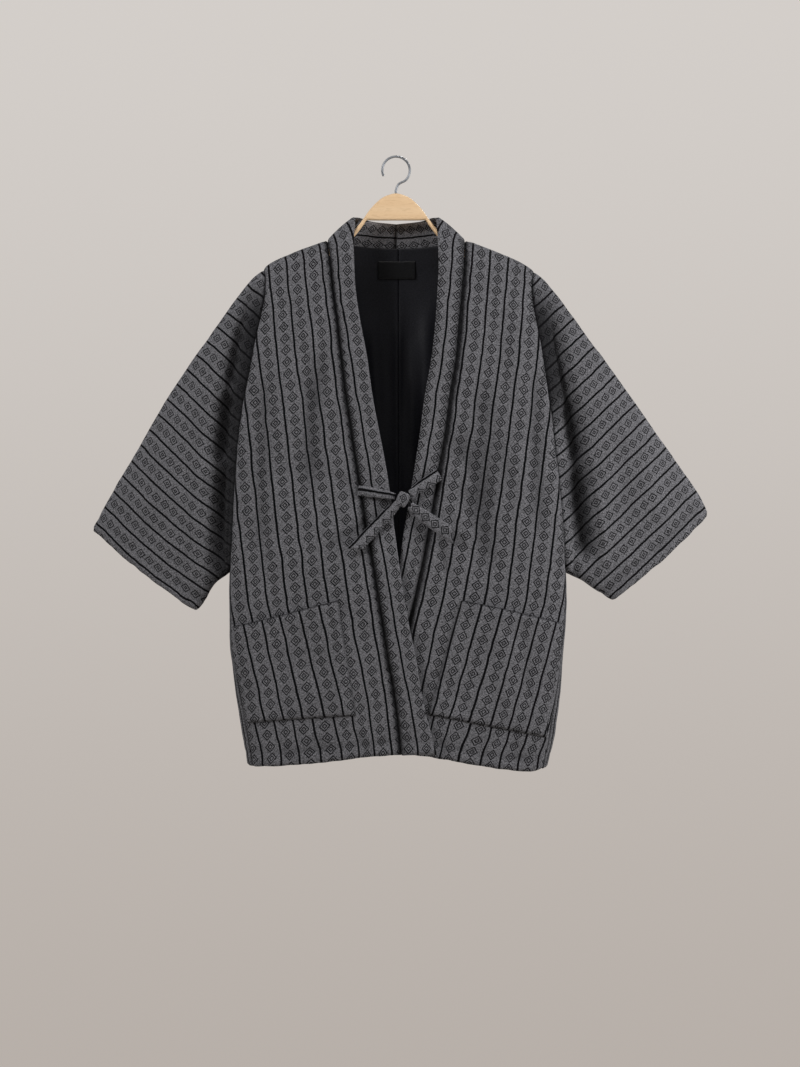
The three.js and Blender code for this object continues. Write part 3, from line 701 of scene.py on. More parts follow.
# Half the width of a dark line and where it has faded out, half the width and the height of a
# diamond, and the height of a row of them. The outer ring lies near the diamond's edge.
LINE_HALF, LINE_END = 1.2, 1.95
HALF_WIDE, HALF_TALL, ROW_HEIGHT = 7.1, 8.0, 17.7
OUTER_RING = 0.95


class Graph:
    """A node tree, and a few words for wiring it."""

    def __init__(self, tree):
        self.tree = tree

    def node(self, kind, **settings):
        made = self.tree.nodes.new(kind)
        for name, value in settings.items():
            setattr(made, name, value)
        return made

    def wire(self, value, socket):
        if isinstance(value, bpy.types.NodeSocket):
            self.tree.links.new(value, socket)
        else:
            socket.default_value = value

    def feed(self, made, values):
        for value, socket in zip(values, made.inputs):
            self.wire(value, socket)
        return made.outputs[0]

    def math(self, operation, *values):
        return self.feed(self.node("ShaderNodeMath", operation=operation), values)

    def join(self, *values):
        return self.feed(self.node("ShaderNodeCombineXYZ"), values)

    def split(self, vector):
        made = self.node("ShaderNodeSeparateXYZ")
        self.wire(vector, made.inputs[0])
        return made.outputs

    def step(self, value, low, high, out_low=0.0, out_high=1.0):
        """A smooth step from out_low to out_high."""
        made = self.node("ShaderNodeMapRange", interpolation_type="SMOOTHSTEP")
        self.feed(made, (value, low, high, out_low, out_high))
        return made.outputs["Result"]

    def band(self, value, middle, solid, gone):
        """One where the value is within solid of the middle, and nothing from gone on."""
        away = self.math("ABSOLUTE", self.math("SUBTRACT", value, middle))
        return self.step(away, solid, gone, 1.0, 0.0)

    def noise(self, parts, scales, offset=0.0, detail=2.0, roughness=0.5):
        """Noise over coordinates, each times its own scale. The offset is the third of a flat pattern."""
        made = self.node("ShaderNodeTexNoise")
        made.inputs["Scale"].default_value = 1.0
        made.inputs["Detail"].default_value = detail
        made.inputs["Roughness"].default_value = roughness
        scaled = [self.math("MULTIPLY", part, scale) for part, scale in zip(parts, scales)]
        self.wire(self.join(*scaled, offset), made.inputs["Vector"])
        return made.outputs["Fac"]

    def blend(self, share, one, two, how="MIX"):
        made = self.node("ShaderNodeMix", data_type="RGBA", blend_type=how)
        for value, number in ((share, 0), (one, 6), (two, 7)):
            self.wire(value, made.inputs[number])
        return made.outputs[2]


def group(name, numbers, outputs):
    """A node group that takes a vector and named numbers, and puts out masks and values."""
    tree = bpy.data.node_groups.new(name, "ShaderNodeTree")
    tree.interface.new_socket(name="Vector", in_out="INPUT", socket_type="NodeSocketVector")
    for labels, way in ((numbers, "INPUT"), (outputs, "OUTPUT")):
        for label in labels:
            tree.interface.new_socket(name=label, in_out=way, socket_type="NodeSocketFloat")
    graph = Graph(tree)
    return graph, graph.node("NodeGroupInput").outputs, graph.node("NodeGroupOutput").inputs


def stripe_group():
    """Dark lines and columns of nested diamonds between them. The vector is the flat cloth, in metres."""
    g, given, out = group("striped weave", ("Lean", "Skew", "Size", "Inner"), ("Line", "Diamond"))
    across, down, _ = g.split(given["Vector"])
    straight_u, v = g.math("MULTIPLY", across, 1000.0), g.math("MULTIPLY", down, 1000.0)
    slow = g.noise((straight_u, v), (0.012, 0.022))
    fast = g.noise((straight_u, v), (0.1, 0.35), 4.0)
    sway = g.math("ADD", g.math("MULTIPLY_ADD", slow, 5.0, -2.5), g.math("MULTIPLY_ADD", fast, 0.9, -0.45))
    u = g.math("ADD", straight_u, sway)
    part = g.math("DIVIDE", u, STRIPE)
    line = g.band(u, g.math("MULTIPLY", g.math("ROUND", part), STRIPE), LINE_HALF, LINE_END)
    column = g.math("FLOOR", part)
    from_middle = g.math("SUBTRACT", u, g.math("MULTIPLY_ADD", column, STRIPE, STRIPE / 2))
    row = g.math("FLOOR", g.math("DIVIDE", v, ROW_HEIGHT))
    up = g.math("SUBTRACT", v, g.math("MULTIPLY_ADD", row, ROW_HEIGHT, ROW_HEIGHT / 2))
    leaned = g.math("ADD", from_middle, g.math("MULTIPLY", up, given["Lean"]))
    skewed = g.math("ADD", up, g.math("MULTIPLY", from_middle, given["Skew"]))
    wide = g.math("DIVIDE", g.math("ABSOLUTE", leaned), HALF_WIDE)
    tall = g.math("DIVIDE", g.math("ABSOLUTE", skewed), HALF_TALL)
    edge = g.math("MULTIPLY_ADD", fast, 0.12, -0.06)
    ring = g.math("DIVIDE", g.math("ADD", g.math("ADD", wide, tall), edge), given["Size"])
    outer = g.band(ring, OUTER_RING, 0.088, 0.185)
    inner = g.band(ring, given["Inner"], 0.075, 0.165)
    shade = g.node("ShaderNodeTexWhiteNoise", noise_dimensions="2D")
    g.wire(g.join(column, row), shade.inputs["Vector"])
    strength = g.math("MULTIPLY_ADD", shade.outputs["Value"], 0.08, 0.92)
    g.wire(line, out["Line"])
    g.wire(g.math("MULTIPLY", g.math("MAXIMUM", outer, inner), strength), out["Diamond"])
    return g.tree


def heather_group():
    """Mixed grey yarns: specks along and across, soft patches, and the height of the yarns."""
    g, given, out = group("heather yarn", (), ("Tone", "Height"))
    u, v, _ = g.split(given["Vector"])
    warp = g.noise((u, v), (900.0, 380.0), 0.0, 3.0, 0.6)
    weft = g.noise((u, v), (330.0, 950.0), 3.0, 3.0, 0.6)
    patch = g.noise((u, v), (34.0, 26.0), 9.0)
    specks = g.math("ADD", warp, weft)
    mottle = g.math("MULTIPLY_ADD", patch, 0.3, -0.15)
    tone = g.math("ADD", g.math("MULTIPLY_ADD", specks, 4.0, -3.0), mottle)
    g.wire(g.math("MAXIMUM", tone, 0.2), out["Tone"])
    g.wire(specks, out["Height"])
    return g.tree


def grain_group():
    """Pale wood: long soft grain along X on Object coordinates."""
    g, given, out = group("wood grain", (), ("Grain", "Pores"))
    place = g.split(given["Vector"])
    g.wire(g.noise(place, (9.0, 120.0, 120.0), detail=3.0), out["Grain"])
    g.wire(g.step(g.noise(place, (90.0, 900.0, 900.0)), 0.52, 0.7), out["Pores"])
    return g.tree


def use(graph, tree, **values):
    made = graph.node("ShaderNodeGroup", node_tree=tree)
    for name, value in values.items():
        graph.wire(value, made.inputs[name])
    return made.outputs


def surface(name, roughness, **constants):
    """A material with one Principled shader. Constants are set on its own sockets."""
    material = bpy.data.materials.new(name)
    material.use_nodes = True
    graph = Graph(material.node_tree)
    shader = material.node_tree.nodes["Principled BSDF"]
    shader.inputs["Roughness"].default_value = roughness
    for label, value in constants.items():
        shader.inputs[label.replace("_", " ")].default_value = value
    return material, graph, shader


def bump(graph, shader, height, distance, strength=0.6):
    made = graph.node("ShaderNodeBump")
    made.inputs["Strength"].default_value = strength
    made.inputs["Distance"].default_value = distance
    graph.wire(height, made.inputs["Height"])
    graph.wire(made.outputs[0], shader.inputs["Normal"])


stripes, heather, grain = stripe_group(), heather_group(), grain_group()


def yarned(g, colour):
    """The place on the flat cloth, the colour mixed by the yarns there, and their height."""
    flat = g.node("ShaderNodeUVMap", uv_map="cloth").outputs[0]
    yarn = use(g, heather, Vector=flat)
    tone = g.join(yarn["Tone"], yarn["Tone"], yarn["Tone"])
    return flat, g.blend(1.0, colour, tone, "MULTIPLY"), yarn["Height"]


def striped_cloth(name, lean, skew=0.0, size=1.0, inner=0.42):
    material, g, shader = surface(
        name, 0.95, Sheen_Weight=0.04, Sheen_Roughness=0.5, Specular_IOR_Level=0.06
    )
    flat, ground, yarn_height = yarned(g, GROUND_GREY)
    pattern = use(g, stripes, Vector=flat, Lean=lean, Skew=skew, Size=size, Inner=inner)
    dark = g.math("MAXIMUM", pattern["Line"], pattern["Diamond"])
    coloured = g.blend(dark, ground, LINE_BLACK)
    # Painted shade: the colour is darkened towards black where the deep attribute marks seams, folds and
    # the sleeves beside the body.
    deep = g.node("ShaderNodeAttribute", attribute_name="deep").outputs["Fac"]
    with_painted_shade = g.blend(g.math("MULTIPLY", deep, PAINTED_SHADE_MOST), coloured, LINE_BLACK)
    g.wire(with_painted_shade, shader.inputs["Base Color"])
    bump(g, shader, g.math("SUBTRACT", yarn_height, g.math("MULTIPLY", dark, 0.5)), 0.0005)
    return material


def satin(name, colour, roughness):
    material, g, shader = surface(name, roughness, Specular_IOR_Level=0.2)
    _, mixed, yarn_height = yarned(g, colour)
    g.wire(g.blend(0.5, colour, mixed), shader.inputs["Base Color"])
    bump(g, shader, yarn_height, 0.0002, 0.3)
    return material


front_cloth = {
    "right": striped_cloth("cloth right front", 0.19),
    "left": striped_cloth("cloth left front", 0.04),
}
plain_run = striped_cloth("cloth straight", 0.0)
sleeve_cloth = striped_cloth("cloth sleeves", -0.37, 0.6, 1.05, 0.31)
collar_cloth = striped_cloth("cloth collar", 0.12)
lining_satin = satin("lining satin", (0.0115, 0.0115, 0.0145, 1), 0.38)
label_satin = satin("label satin", (0.005, 0.005, 0.0057, 1), 0.42)


def beech():
    material, g, shader = surface("beech wood", 0.6, Specular_IOR_Level=0.15)
    lines = use(g, grain, Vector=g.node("ShaderNodeTexCoord").outputs["Object"])
    pale = g.blend(lines["Grain"], (0.82, 0.6, 0.38, 1), (0.72, 0.48, 0.27, 1))
    pores = g.math("MULTIPLY", lines["Pores"], 0.3)
    g.wire(g.blend(pores, pale, (0.5, 0.3, 0.15, 1)), shader.inputs["Base Color"])
    bump(g, shader, lines["Grain"], 0.0003, 0.3)
    return material


beech_wood = beech()
bright_steel, _, _ = surface("bright steel", 0.5, Metallic=1.0, Base_Color=(0.3, 0.31, 0.33, 1))

# ---------------------------------------------------------------- fronts and backs

COLLAR_PAINTED_SHADE = {"right": 0.45, "left": 0.8}  # how strong the painted shade beside the collar's seam is
BACK_SHIFT = 11.0  # how far the back's stripes are moved across

side_foot = {}  # the height at which each front's side edge ends
for side, sign in SIDES.items():
    for face, rows, columns in (("front", FRONT_TROUGHS, 68), ("back", BACK_TROUGHS, 76)):
        is_front = face == "front"
        across, down = grid_of(steps(columns), steps(216))
        points = panel(side, face, across, down)
        flat_x, flat_z = unrolled(points, sign)
        # folds: painted shade, darker along the troughs and beside the collar's seam.
        folds = 0.5 * smooth(np.maximum(troughs(rows, points[..., 0], points[..., 2]), 0) / 7)
        if is_front:
            side_foot[side] = float(points[-1, -1, 2])
            uv, woven = front_uv(side, flat_x, flat_z), front_cloth[side]
            folds = folds + COLLAR_PAINTED_SHADE[side] * (1 - smooth((lengths(points, 1) - 3) / 8)) * smooth(down * 6)
        else:
            uv, woven = joined(flat_x + BACK_SHIFT, -flat_z), plain_run
        cloth(
            f"{face}_{side}_cloth", points, uv, PADDED, {"first": "seam", "last": "tuck", "foot": "hem"},
            [woven, lining_satin], folds=folds, outward=(0, -1 if is_front else 1, 0),
            seed=10.0 + sign + 20 * is_front, inside=True,
        )

# ---------------------------------------------------------------- collar

# How far the line lies from the collar's seam at each height, on the right and on the left.
COLLAR_LINE = [
    (-125, 15, 20),
    (-160, 12, 20),
    (-205, 10, 20),
    (-250, 11, 20),
    (-304, 14, 20.5),
    (-361, 15.5, 21),
    (-460, 18, 21.5),
    (-520, 17, 24),
    (-620, 17, 26.5),
    (-760, 18.5, 26.5),
    (-870, 23.5, 26.5),
    (-905, 24, 26.5),
]
COLLAR_PITCH = 27.0
# The same behind the neck, and half of what stays open at the centre back.
BEHIND_LINE = 35.5
BEHIND_PITCH = 24.0
CENTRE_GAP = 0.04


def front_edge(side, z):
    """The collar's folded edge opposite the front's seam."""
    x = edge_at[side](z)
    out_of_neck = 6 * np.exp(-(COLLAR_LINES[0][0] - z) / 90)
    y = -flat_depth(float(ridge_at(NECK_HALF)) - z + 14) - out_of_neck - lap_at(side, x, z)
    return joined(x, y, z)


def collar_grid(side):
    """The collar from the centre back round the neck and down the front, from its seam to its fold."""
    sign = SIDES[side]
    parts = steps(36)[:-1]
    at_neck = FLAT_PART * NECK_PART * parts[None, :]
    back_seam = panel(side, "back", at_neck, np.zeros_like(at_neck))[0]
    out, y, z = (read(parts) for read in curves(NECK_EDGE))
    back_edge = joined(sign * np.maximum(out, SEAM / 2), y, z)
    down = steps(214)[:, None]
    front_seam = panel(side, "front", np.zeros_like(down), down)[:, 0]
    fall = front_seam[0, 2] - front_seam[:, 2]
    first_row = mix(RIDGE_RADIUS, fall[-1], (1 / 15) ** FALL_POWER)
    row = np.interp(fall, [0, 1.5, 5.5, RIDGE_RADIUS, first_row], [0, 1, 2, 3, 4])
    _, shoulder_out, _, shoulder_z = NECK_EDGE[-1]
    shoulder = joined(np.full_like(row, sign * shoulder_out), -row * 3, shoulder_z - row * 2.4)
    edge = mix(shoulder, front_edge(side, front_seam[:, 2]), smooth(row / 4)[:, None])
    seam = np.concatenate([back_seam, front_seam])
    edge = np.concatenate([back_edge, edge])
    start = seam + unit(edge - seam) * SEAM
    across = mix(steps(18), close_ends(18), 0.5)
    return start[:, None] + (edge - start)[:, None] * across[None, :, None], across, len(parts)


for number, (side, sign) in enumerate(SIDES.items()):
    points, across, neck_rows = collar_grid(side)
    points[0, :, 0] = CENTRE_GAP * sign
    first = curve(COLLAR_LINE, number + 1)(points[:, :1, 2])
    from_seam = lengths(points, 1)
    row = np.arange(len(points))[:, None]
    behind = smooth((neck_rows * 0.9 - row) / (neck_rows * 0.35))
    line = mix(first, BEHIND_LINE + 6 * smooth(row / 18), behind) - 2 * bell(row / 2.5)
    u = (from_seam - line) * STRIPE / mix(COLLAR_PITCH, BEHIND_PITCH, behind) * -sign
    along = np.broadcast_to(lengths(points, 0)[:, 9:10], from_seam.shape)
    full = np.broadcast_to(mix(PADDED / COLLAR_MIDDLE, 1, np.sin(math.pi * across)), from_seam.shape)
    cloth(
        f"collar_{side}_cloth", points, joined(u, along), COLLAR_MIDDLE,
        {"first": "seam", "last": "fold", "top": "join", "foot": "hem"}, [collar_cloth],
        seed=31.0 + sign, puff=0.45, across=full,
    )

# ---------------------------------------------------------------- sleeves

UNDERARM_ROUND = 40.0
CUFF_BULGE = 4.0
TURNED_IN = 4.0  # how far the cloth turns in at the armhole
HALF_RING = 66
# Painted shade on the sleeve's front: in its troughs, and beside the body.
DIP_PAINTED_SHADE = 0.78
BODY_PAINTED_SHADE = 0.92  # how dark the painted shade beside the body is
SLEEVE_PITCH = 26.3
FIRST_RING = (14.0, 8.0)  # from the cuff to the first line, at the top and at the low fold
SLEEVE_BOW = {"right": 7.0, "left": 1.5}
SLEEVE_CUT = (0.42, 0.5)  # metres: one piece folded along the sleeve's top


def sleeve_grid(side):
    """The sleeve as a flattened ring, with each point's place between the folds and its painted shade, in
    the troughs and beside the body.
    """
    sign = SIDES[side]
    top_x, top_z, low_x, low_z = curves(SLEEVE_FOLDS[side])
    half_ring = close_ends(HALF_RING)
    w, s = grid_of(np.concatenate([half_ring, half_ring[-2::-1]]), steps(84) ** 1.15)
    way = np.broadcast_to(np.where(np.arange(w.shape[1]) <= HALF_RING, -1.0, 1.0), w.shape)
    height = top_z(0.0) - low_z(0.0)
    bulge = CUFF_BULGE * np.sin(math.pi * w)
    hole_z = top_z(0.0) - w * height
    hole_x = side_at[side](hole_z) + sign * ARMHOLE_GAP
    cuff_x = mix(top_x(1.0), low_x(1.0), w) + sign * bulge * 0.6
    cuff_z = mix(top_z(1.0), low_z(1.0), w) - bulge * 0.8
    place = []
    for top, low, hole, cuff in ((top_x, low_x, hole_x, cuff_x), (top_z, low_z, hole_z, cuff_z)):
        corners = mix(mix(top(0.0), top(1.0), s), mix(low(0.0), low(1.0), s), w)
        place.append(mix(top(s), low(s), w) + mix(hole, cuff, s) - corners)
    x, z = place
    foot = np.clip((1 - w) * height / UNDERARM_ROUND, 0, 1)
    at_body = (side_depth(w * height) + 2) * np.sqrt(1 - (1 - foot) ** 2)
    beyond = curve(SLEEVE_DEPTH, 1)(s) * (4 * w * (1 - w)) ** 0.25
    y = way * mix(at_body, beyond, smooth(s / 0.1))
    dips = np.where(way < 0, troughs(SLEEVE_TROUGHS[side], x, z), -troughs(SLEEVE_BACK_TROUGHS[side], x, z))
    dips = dips * (4 * w * (1 - w)) ** 0.5 * smooth(s / 0.03)
    x = x - sign * TURNED_IN * smooth(1 - s / 0.05)
    from_body = sign * (x - side_at[side](z))
    # Painted shade, strongest on the front beside the body, and along the troughs.
    painted_shade_by_body = (1 - smooth((from_body + 2) / 56)) * smooth((-165 - z) / 90)
    if side == "left":
        painted_shade_by_body = painted_shade_by_body * smooth((z + 460) / 130)
    shade = np.where(way < 0, np.maximum(DIP_PAINTED_SHADE * smooth(dips / 17), BODY_PAINTED_SHADE * smooth(painted_shade_by_body)), 0)
    return joined(x, y + dips, z), w, shade


for side, sign in SIDES.items():
    # folds is the painted shade of the sleeve's front.
    points, w, folds = sleeve_grid(side)
    cuff_top, cuff_low = np.reshape(SLEEVE_FOLDS[side][-1][1:], (2, 2))
    cuff_length = float(np.linalg.norm(cuff_low - cuff_top))
    run = (cuff_low - cuff_top) / cuff_length
    from_cuff = points[..., [0, 2]] - cuff_top
    v = from_cuff @ run
    inland = from_cuff @ np.array([-sign * abs(run[1]), abs(run[0])])
    bow = SLEEVE_BOW[side] * np.sin(math.pi * np.clip((v + 20) / (cuff_length + 20), 0, 1))
    u = (inland + bow - mix(*FIRST_RING, w)) * STRIPE / SLEEVE_PITCH
    v = v * 1.04 - 14 * np.exp(-9 * w)
    cloth(
        f"sleeve_{side}_cloth", points, joined(u, v), PADDED,
        {"top": "tuck", "foot": "hem"}, [sleeve_cloth, lining_satin], ring=True,
        seed=51.0 + sign, inside=True, flat=SLEEVE_CUT, folds=folds,
    )

# ---------------------------------------------------------------- gussets

for side, sign in SIDES.items():
    part, down = grid_of(2 * steps(14) - 1, steps(80))
    top = UNDERARM - 5 + 34 * (1 - np.sqrt(1 - (0.9 * part) ** 2))
    z = mix(top, side_foot[side], down)
    bulge = gusset_at(z) * (1 - part * part) * smooth((UNDERARM - z) / 60)
    x = body_side_x(side, z, np.full(z.shape, WELL_DOWN)) + sign * bulge
    points = joined(x, part * (SIDE_DEPTH - SEAM), z)
    cloth(
        f"gusset_{side}_cloth", points, joined(points[..., 1] + 14, -z), PADDED,
        {"first": "tuck", "last": "tuck", "top": "tuck", "foot": "hem"}, [plain_run, lining_satin],
        outward=(sign, 0, 0), seed=61.0 + sign, inside=True,
    )

# ---------------------------------------------------------------- pockets

POCKET_SHIFT = {"right": 8.0, "left": -8.0}
POCKET_WALL = 3.6


def on_front(side, x, z):
    """The front's middle point for a place seen from the front, also where it rounds to the side."""
    sign = SIDES[side]
    drop = drop_at(x, z)
    flat_x = body_side_x(side, z, drop) - sign * SIDE_TURN
    t = np.clip(sign * (x - flat_x) / SIDE_TURN, 0, 0.9)
    use_x = np.where(sign * (x - flat_x) > 0, flat_x + sign * SIDE_TURN * t, x)
    y = mix(front_y(side, use_x, z), -side_depth(drop), 1 - np.sqrt(1 - t * t))
    return joined(use_x, y, z)


for side, sign in SIDES.items():
    *corners, mouth = POCKETS[side]
    across, down = grid_of(steps(46) ** 1.3, steps(46))
    x, z = (
        mix(mix(out_top, in_top, across), mix(out_low, in_low, across), down)
        for out_top, in_top, in_low, out_low in zip(*corners)
    )
    z = z + mouth * 4 * across * (1 - across) * (1 - down)
    under = on_front(side, x, z)
    normal = normals_of(under)
    normal *= np.where(normal[..., 1:2] < 0, 1, -1)
    from_side, from_top = lengths(under, 1), lengths(under, 0)
    edge = np.minimum(np.minimum(from_side, from_side[:, -1:] - from_side), from_top[-1:] - from_top)
    away = PADDED / 2 + 0.5 + POCKET_WALL / 2 * round_edge(edge, 5) + 0.8 * smooth(edge / 22)
    gape = 1.8 * smooth(1 - from_top / 40) * smooth(edge / 30)
    points = under + normal * (away + gape)[..., None]
    flat_x, _ = unrolled(points, -sign)
    cloth(
        f"pocket_{side}_cloth", points, front_uv(side, flat_x, z, POCKET_SHIFT[side]), POCKET_WALL,
        {"first": "laid", "last": "laid", "foot": "laid", "top": "mouth"}, [front_cloth[side]],
        seed=30.0 + sign,
    )

# ---------------------------------------------------------------- ties and knot

COLLAR_FRONT = -(BODY_DEPTH + COLLAR_MIDDLE / 2 + ON_TOP + TIE / 2)
TIE_WALL = 3.2
TIE_LINE = {"tie_right_strap": -1.5, "tie_left_strap": 6.5, "tie_right_tail": 6.8, "tie_left_tail": 14.0}

for number, (name, rows) in enumerate(TIES.items()):
    x_at, z_at, wide_at, off_at = through(rows)
    part, at = grid_of(steps(18) - 0.5, steps(60) * (len(rows) - 1))
    near = 0.01
    run = unit(joined(x_at(at + near) - x_at(at - near), z_at(at + near) - z_at(at - near)))
    side_step = part * wide_at(at)
    slant = -0.85 * side_step * smooth(at - len(rows) + 2) if "tail" in name else 0
    x = x_at(at) - run[..., 1] * side_step + run[..., 0] * slant
    z = z_at(at) + run[..., 0] * side_step + run[..., 1] * slant
    y = COLLAR_FRONT - off_at(at) - lap_at("right", x_at(at), z_at(at)) - (1 - 4 * part * part) * 1.2
    gathered = smooth(1 - np.minimum(at, len(rows) - 1 - at) / 1.2) if "strap" in name else smooth(1 - at)
    y = y + 0.9 * cloud(part * 5, at * 0.5, 1.0, 80.0 + number) * mix(0.35, 1, gathered)
    points = joined(x, y, z)
    uv = joined(side_step + TIE_LINE[name], lengths(points, 0) + 5 * number)
    cloth(
        f"{name}_cloth", points, uv, TIE_WALL, FOLDED, [collar_cloth],
        seed=81.0 + number, puff=0.3,
    )

KNOT = Vector((9.5, COLLAR_FRONT - 6, -517))
KNOT_SIZE = (9.6, 7.0, 12.5)
KNOT_TURN = math.radians(-20)


def tie_knot():
    """One plump turn of the strap, square at its corners, with a slanting crease."""
    bm = bmesh.new()
    bmesh.ops.create_uvsphere(bm, u_segments=48, v_segments=32, radius=1)
    layer = bm.loops.layers.uv.new("cloth")
    cos, sin = math.cos(KNOT_TURN), math.sin(KNOT_TURN)
    for vert in bm.verts:
        x, y, z = vert.co
        square = (x**4 + y**4 + z**4) ** (1 / 4) * (1 + 0.35 * abs(x) * max(-z, 0))
        crease = 1 - 0.09 * bell((x * 0.8 + z * 0.6 + 0.35) / 0.14)
        vert.co = Vector([co / square * crease * reach for co, reach in zip((x, y, z), KNOT_SIZE)])
        vert.co += vert.co.normalized() * 0.5 * noise.noise(vert.co / 5)
        x, y, z = vert.co
        vert.co = (Vector((x * cos - z * sin, y, x * sin + z * cos)) * 0.96 + KNOT) / 1000
        for loop in vert.link_loops:
            loop[layer].uv = Vector((x * 1.25 + 13.5, z * 1.1 + 5)) / 1000
    for face in bm.faces:
        face.smooth = True
    return from_bmesh("tie_knot_cloth", bm)


knot = tie_knot()
knot.data.materials.append(collar_cloth)
ride(knot, "tie_knot")

# ---------------------------------------------------------------- lining and label inside the back

CENTRE_SEAM = 4.0
LINING_HALF = 92.0
LINING_TOP = -135.0
LINING_LOW = -640.0
LABEL_X, LABEL_Z = (-28.0, 30.0), (-154.0, -181.0)

neck_points, _, neck_rows = collar_grid("left")
neck_points = neck_points[:neck_rows].reshape(-1, 3)


def lining_y(x, z, away):
    """The lining hangs a little free of the back, in soft upright folds."""
    slope = (back_y(x, z + 1) - back_y(x, z - 1)) / 2
    loose = smooth((-z - 195) / 90)
    folds = 3.2 * cloud(x, z * 0.12, 21, 5.0) + 1.6 * bell((x - CENTRE_SEAM) / 6)
    return back_y(x, z) - away * np.hypot(1, slope) - (2.2 + folds) * loose


def over_collar_y(x, z):
    """Just inside the collar's inner face, where the lining runs up over the neck seam."""
    away = (np.abs(x)[..., None] - neck_points[:, 0]) ** 2 + (z[..., None] - neck_points[:, 2]) ** 2
    near = np.exp(-np.minimum(away / 30, 60)) + 1e-30
    return (near * neck_points[:, 1]).sum(axis=-1) / near.sum(axis=-1) - 6.3


for side, sign in SIDES.items():
    part, down = grid_of(steps(44), steps(130))
    wanted = mix(CENTRE_SEAM + sign * SEAM / 2, sign * LINING_HALF, part)
    out = np.abs(wanted)
    top = LINING_TOP + 3 * (np.minimum(out, 60) / 58) ** 2 + 8 * smooth((out - 60) / 30)
    z = mix(top, LINING_LOW, down**1.15)
    x = CENTRE_SEAM + (wanted - CENTRE_SEAM) * mix(1, 0.35, down)
    hanging = lining_y(x, z, PADDED / 2 + ON_TOP + LINING / 2)
    y = mix(over_collar_y(x, np.maximum(z, -168)), hanging, smooth((-z - 148) / 22))
    cloth(
        f"lining_{side}_cloth", joined(x, y, z), joined(x, -z), LINING,
        {"first": "fold", "top": "fold"}, [lining_satin], seed=91.0 + sign, puff=0.25,
    )

across, down = grid_of(steps(30), steps(16))
x, z = mix(*LABEL_X, across), mix(*LABEL_Z, down)
y = lining_y(x, z, PADDED / 2 + 2 * ON_TOP + LINING + LABEL / 2) - 0.6
cloth(
    "label_cloth", joined(x, y, z), joined(x, -z), LABEL, FOLDED, [label_satin],
    seed=97.0, puff=0.15,
)

# ---------------------------------------------------------------- hanger


def tube(name, points, material, node):
    blank = np.ones(points.shape[:2])
    piece = grid_mesh(name, points, np.zeros(points.shape[:2] + (2,)), blank, False, True, capped=True)
    piece.data.materials.append(material)
    return ride(piece, node)


# The wood is lofted along X: each station is an upright oblong with rounded corners.
WOOD_HALF_THICK = 6.0
WOOD_MIDDLE = 52.0  # half the middle part, where the stations lie closer together
WOOD_END = 191.0
top_at, low_at = curves(HANGER_WOOD)
half_stations = np.concatenate([steps(60) * WOOD_MIDDLE, mix(WOOD_MIDDLE, WOOD_END, steps(44)[1:])])
stations = np.concatenate([-half_stations[:0:-1], half_stations])
turn, out = grid_of(steps(40) * 2 * math.pi, np.abs(stations))
middle, half_tall = (top_at(out) + low_at(out)) / 2, (top_at(out) - low_at(out)) / 2
power = 2 / mix(3.0, 6.0, smooth((half_tall - 5) / 12))
c, s = np.cos(turn), np.sin(turn)
thick = WOOD_HALF_THICK * np.sqrt(np.clip((WOOD_END + 0.5 - out) / 5, 0.1, 1))
y = thick * np.sign(c) * np.abs(c) ** power
z = middle + half_tall * np.sign(s) * np.abs(s) ** power
x = np.broadcast_to(stations[:, None], out.shape)
tube("hanger_wood_shaped", joined(x, y, z), beech_wood, "hanger_wood")

# The hook: a short stem out of the wood, then round from one angle to the other, in degrees.
HOOK_WIRE = 3.5
HOOK_INSIDE = 19.0
HOOK_TURN = (-50, 205)
WOOD_TOP = -55.0
radius = HOOK_INSIDE + HOOK_WIRE / 2
angle = np.radians(np.linspace(*HOOK_TURN, 18))
stem = [(0, WOOD_TOP + SEAM), (0, WOOD_TOP + 6), (4, WOOD_TOP + 15)]
bends = np.concatenate([stem, joined(radius * np.cos(angle), radius * np.sin(angle) - HOOK_INSIDE)])
at = steps(160) * (len(bends) - 1)
line = joined(*(read(at) for read in through(bends)))
run = unit(np.gradient(line, axis=0))
turn = steps(20) * 2 * math.pi
ends = np.minimum(at, at[-1] - at)
wire = HOOK_WIRE / 2 * np.sqrt(1 - (1 - np.clip(ends / 0.12 + 0.15, 0, 1)) ** 2)
x = line[:, :1] - run[:, 1:] * np.cos(turn) * wire[:, None]
z = line[:, 1:] + run[:, :1] * np.cos(turn) * wire[:, None]
y = np.sin(turn) * wire[:, None]
tube("hanger_hook_wire", joined(x, y, z), bright_steel, "hanger_hook")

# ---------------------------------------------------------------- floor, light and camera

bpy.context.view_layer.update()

bm = bmesh.new()
bmesh.ops.create_grid(bm, x_segments=1, y_segments=1, size=2.2)
bmesh.ops.translate(bm, verts=bm.verts[:], vec=(0, -0.6, -1.75))
floor = from_bmesh("floor", bm)
floor_paint, _, _ = surface("floor paint", 0.9, Base_Color=(0.6, 0.57, 0.53, 1))
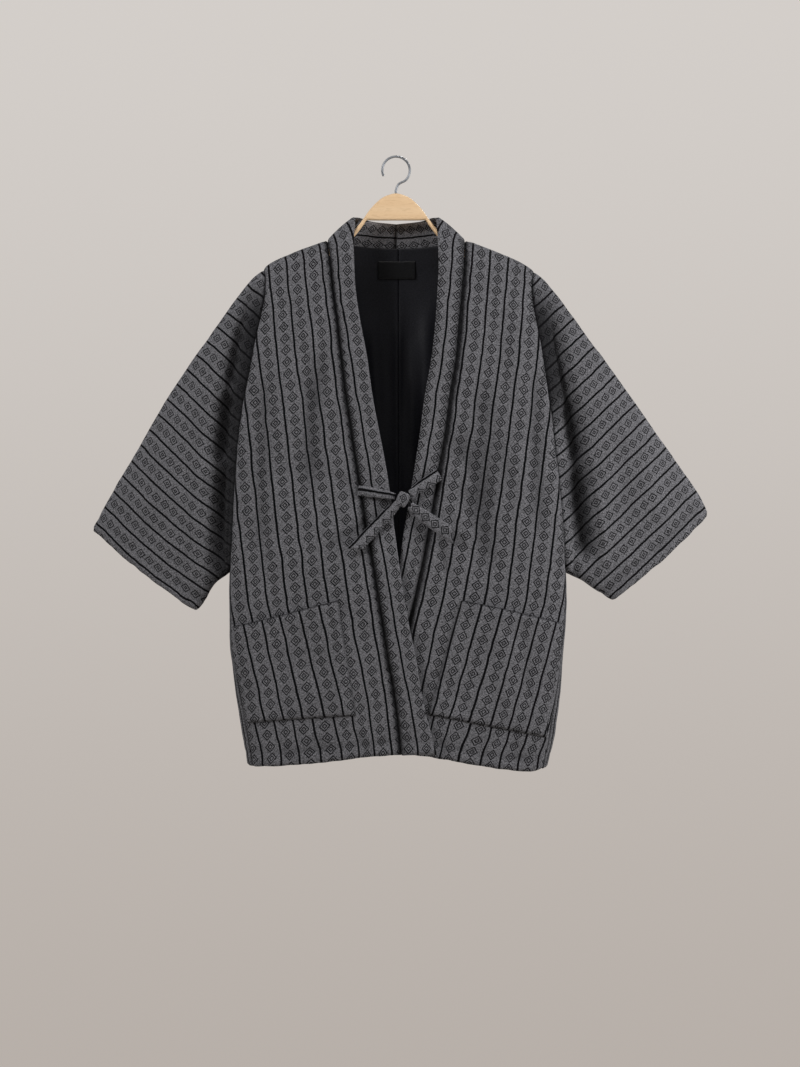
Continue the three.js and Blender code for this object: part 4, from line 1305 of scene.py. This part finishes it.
floor.data.materials.append(floor_paint)

# Soft light from all round, and a pale wall that only the camera sees, with painted shade that makes it
# darker towards the bottom.
world = bpy.data.worlds.new("studio")
bpy.context.scene.world = world
world.use_nodes = True
studio = Graph(world.node_tree)
soft = world.node_tree.nodes["Background"]
soft.inputs["Color"].default_value = (1.0, 0.99, 0.98, 1)
soft.inputs["Strength"].default_value = 0.14
wall = studio.node("ShaderNodeBackground")
_, _, height = studio.split(studio.node("ShaderNodeTexCoord").outputs["Generated"])
wall_with_painted_shade = studio.blend(studio.step(height, -0.2, 0.2), (0.47, 0.425, 0.39, 1), (0.66, 0.625, 0.595, 1))
studio.wire(wall_with_painted_shade, wall.inputs["Color"])
to_camera = studio.node("ShaderNodeLightPath").outputs["Is Camera Ray"]
either = studio.feed(studio.node("ShaderNodeMixShader"), (to_camera, soft.outputs[0], wall.outputs[0]))
studio.wire(either, world.node_tree.nodes["World Output"].inputs["Surface"])
bpy.context.scene.view_settings.view_transform = "Standard"


def lamp(name, place, aim, size, power):
    light = bpy.data.lights.new(name, "AREA")
    light.shape = "DISK"
    light.size = size
    light.energy = power
    holder = in_scene(name, light)
    holder.location = place
    holder.visible_camera = False
    holder.rotation_euler = (Vector(aim) - Vector(place)).to_track_quat("-Z", "Y").to_euler()


lamp("key", (1.45, -0.62, -0.25), (0.4, 0, -0.5), 0.5, 17)
lamp("fill", (-2.2, -1.8, 1.1), (-0.2, 0, -0.25), 0.8, 53)
lamp("top", (0.0, -1.8, 2.4), (0, 0, -0.3), 1.4, 30)
lamp("behind", (0.9, 3.2, 1.2), (0, 0, -0.5), 1.6, 130)

# In metres: from the camera to the plane of the fronts, and how much of that plane it sees upright.
AWAY = 5.0
SEEN = 1.6005

camera = bpy.data.cameras.new("camera")
camera.lens = camera.sensor_width * AWAY / SEEN
camera.clip_end = 50
holder = in_scene("camera", camera)
holder.location = (0.006, -0.03 - AWAY, -0.567)
holder.rotation_euler = (math.pi / 2, 0, 0)
bpy.context.scene.camera = holder
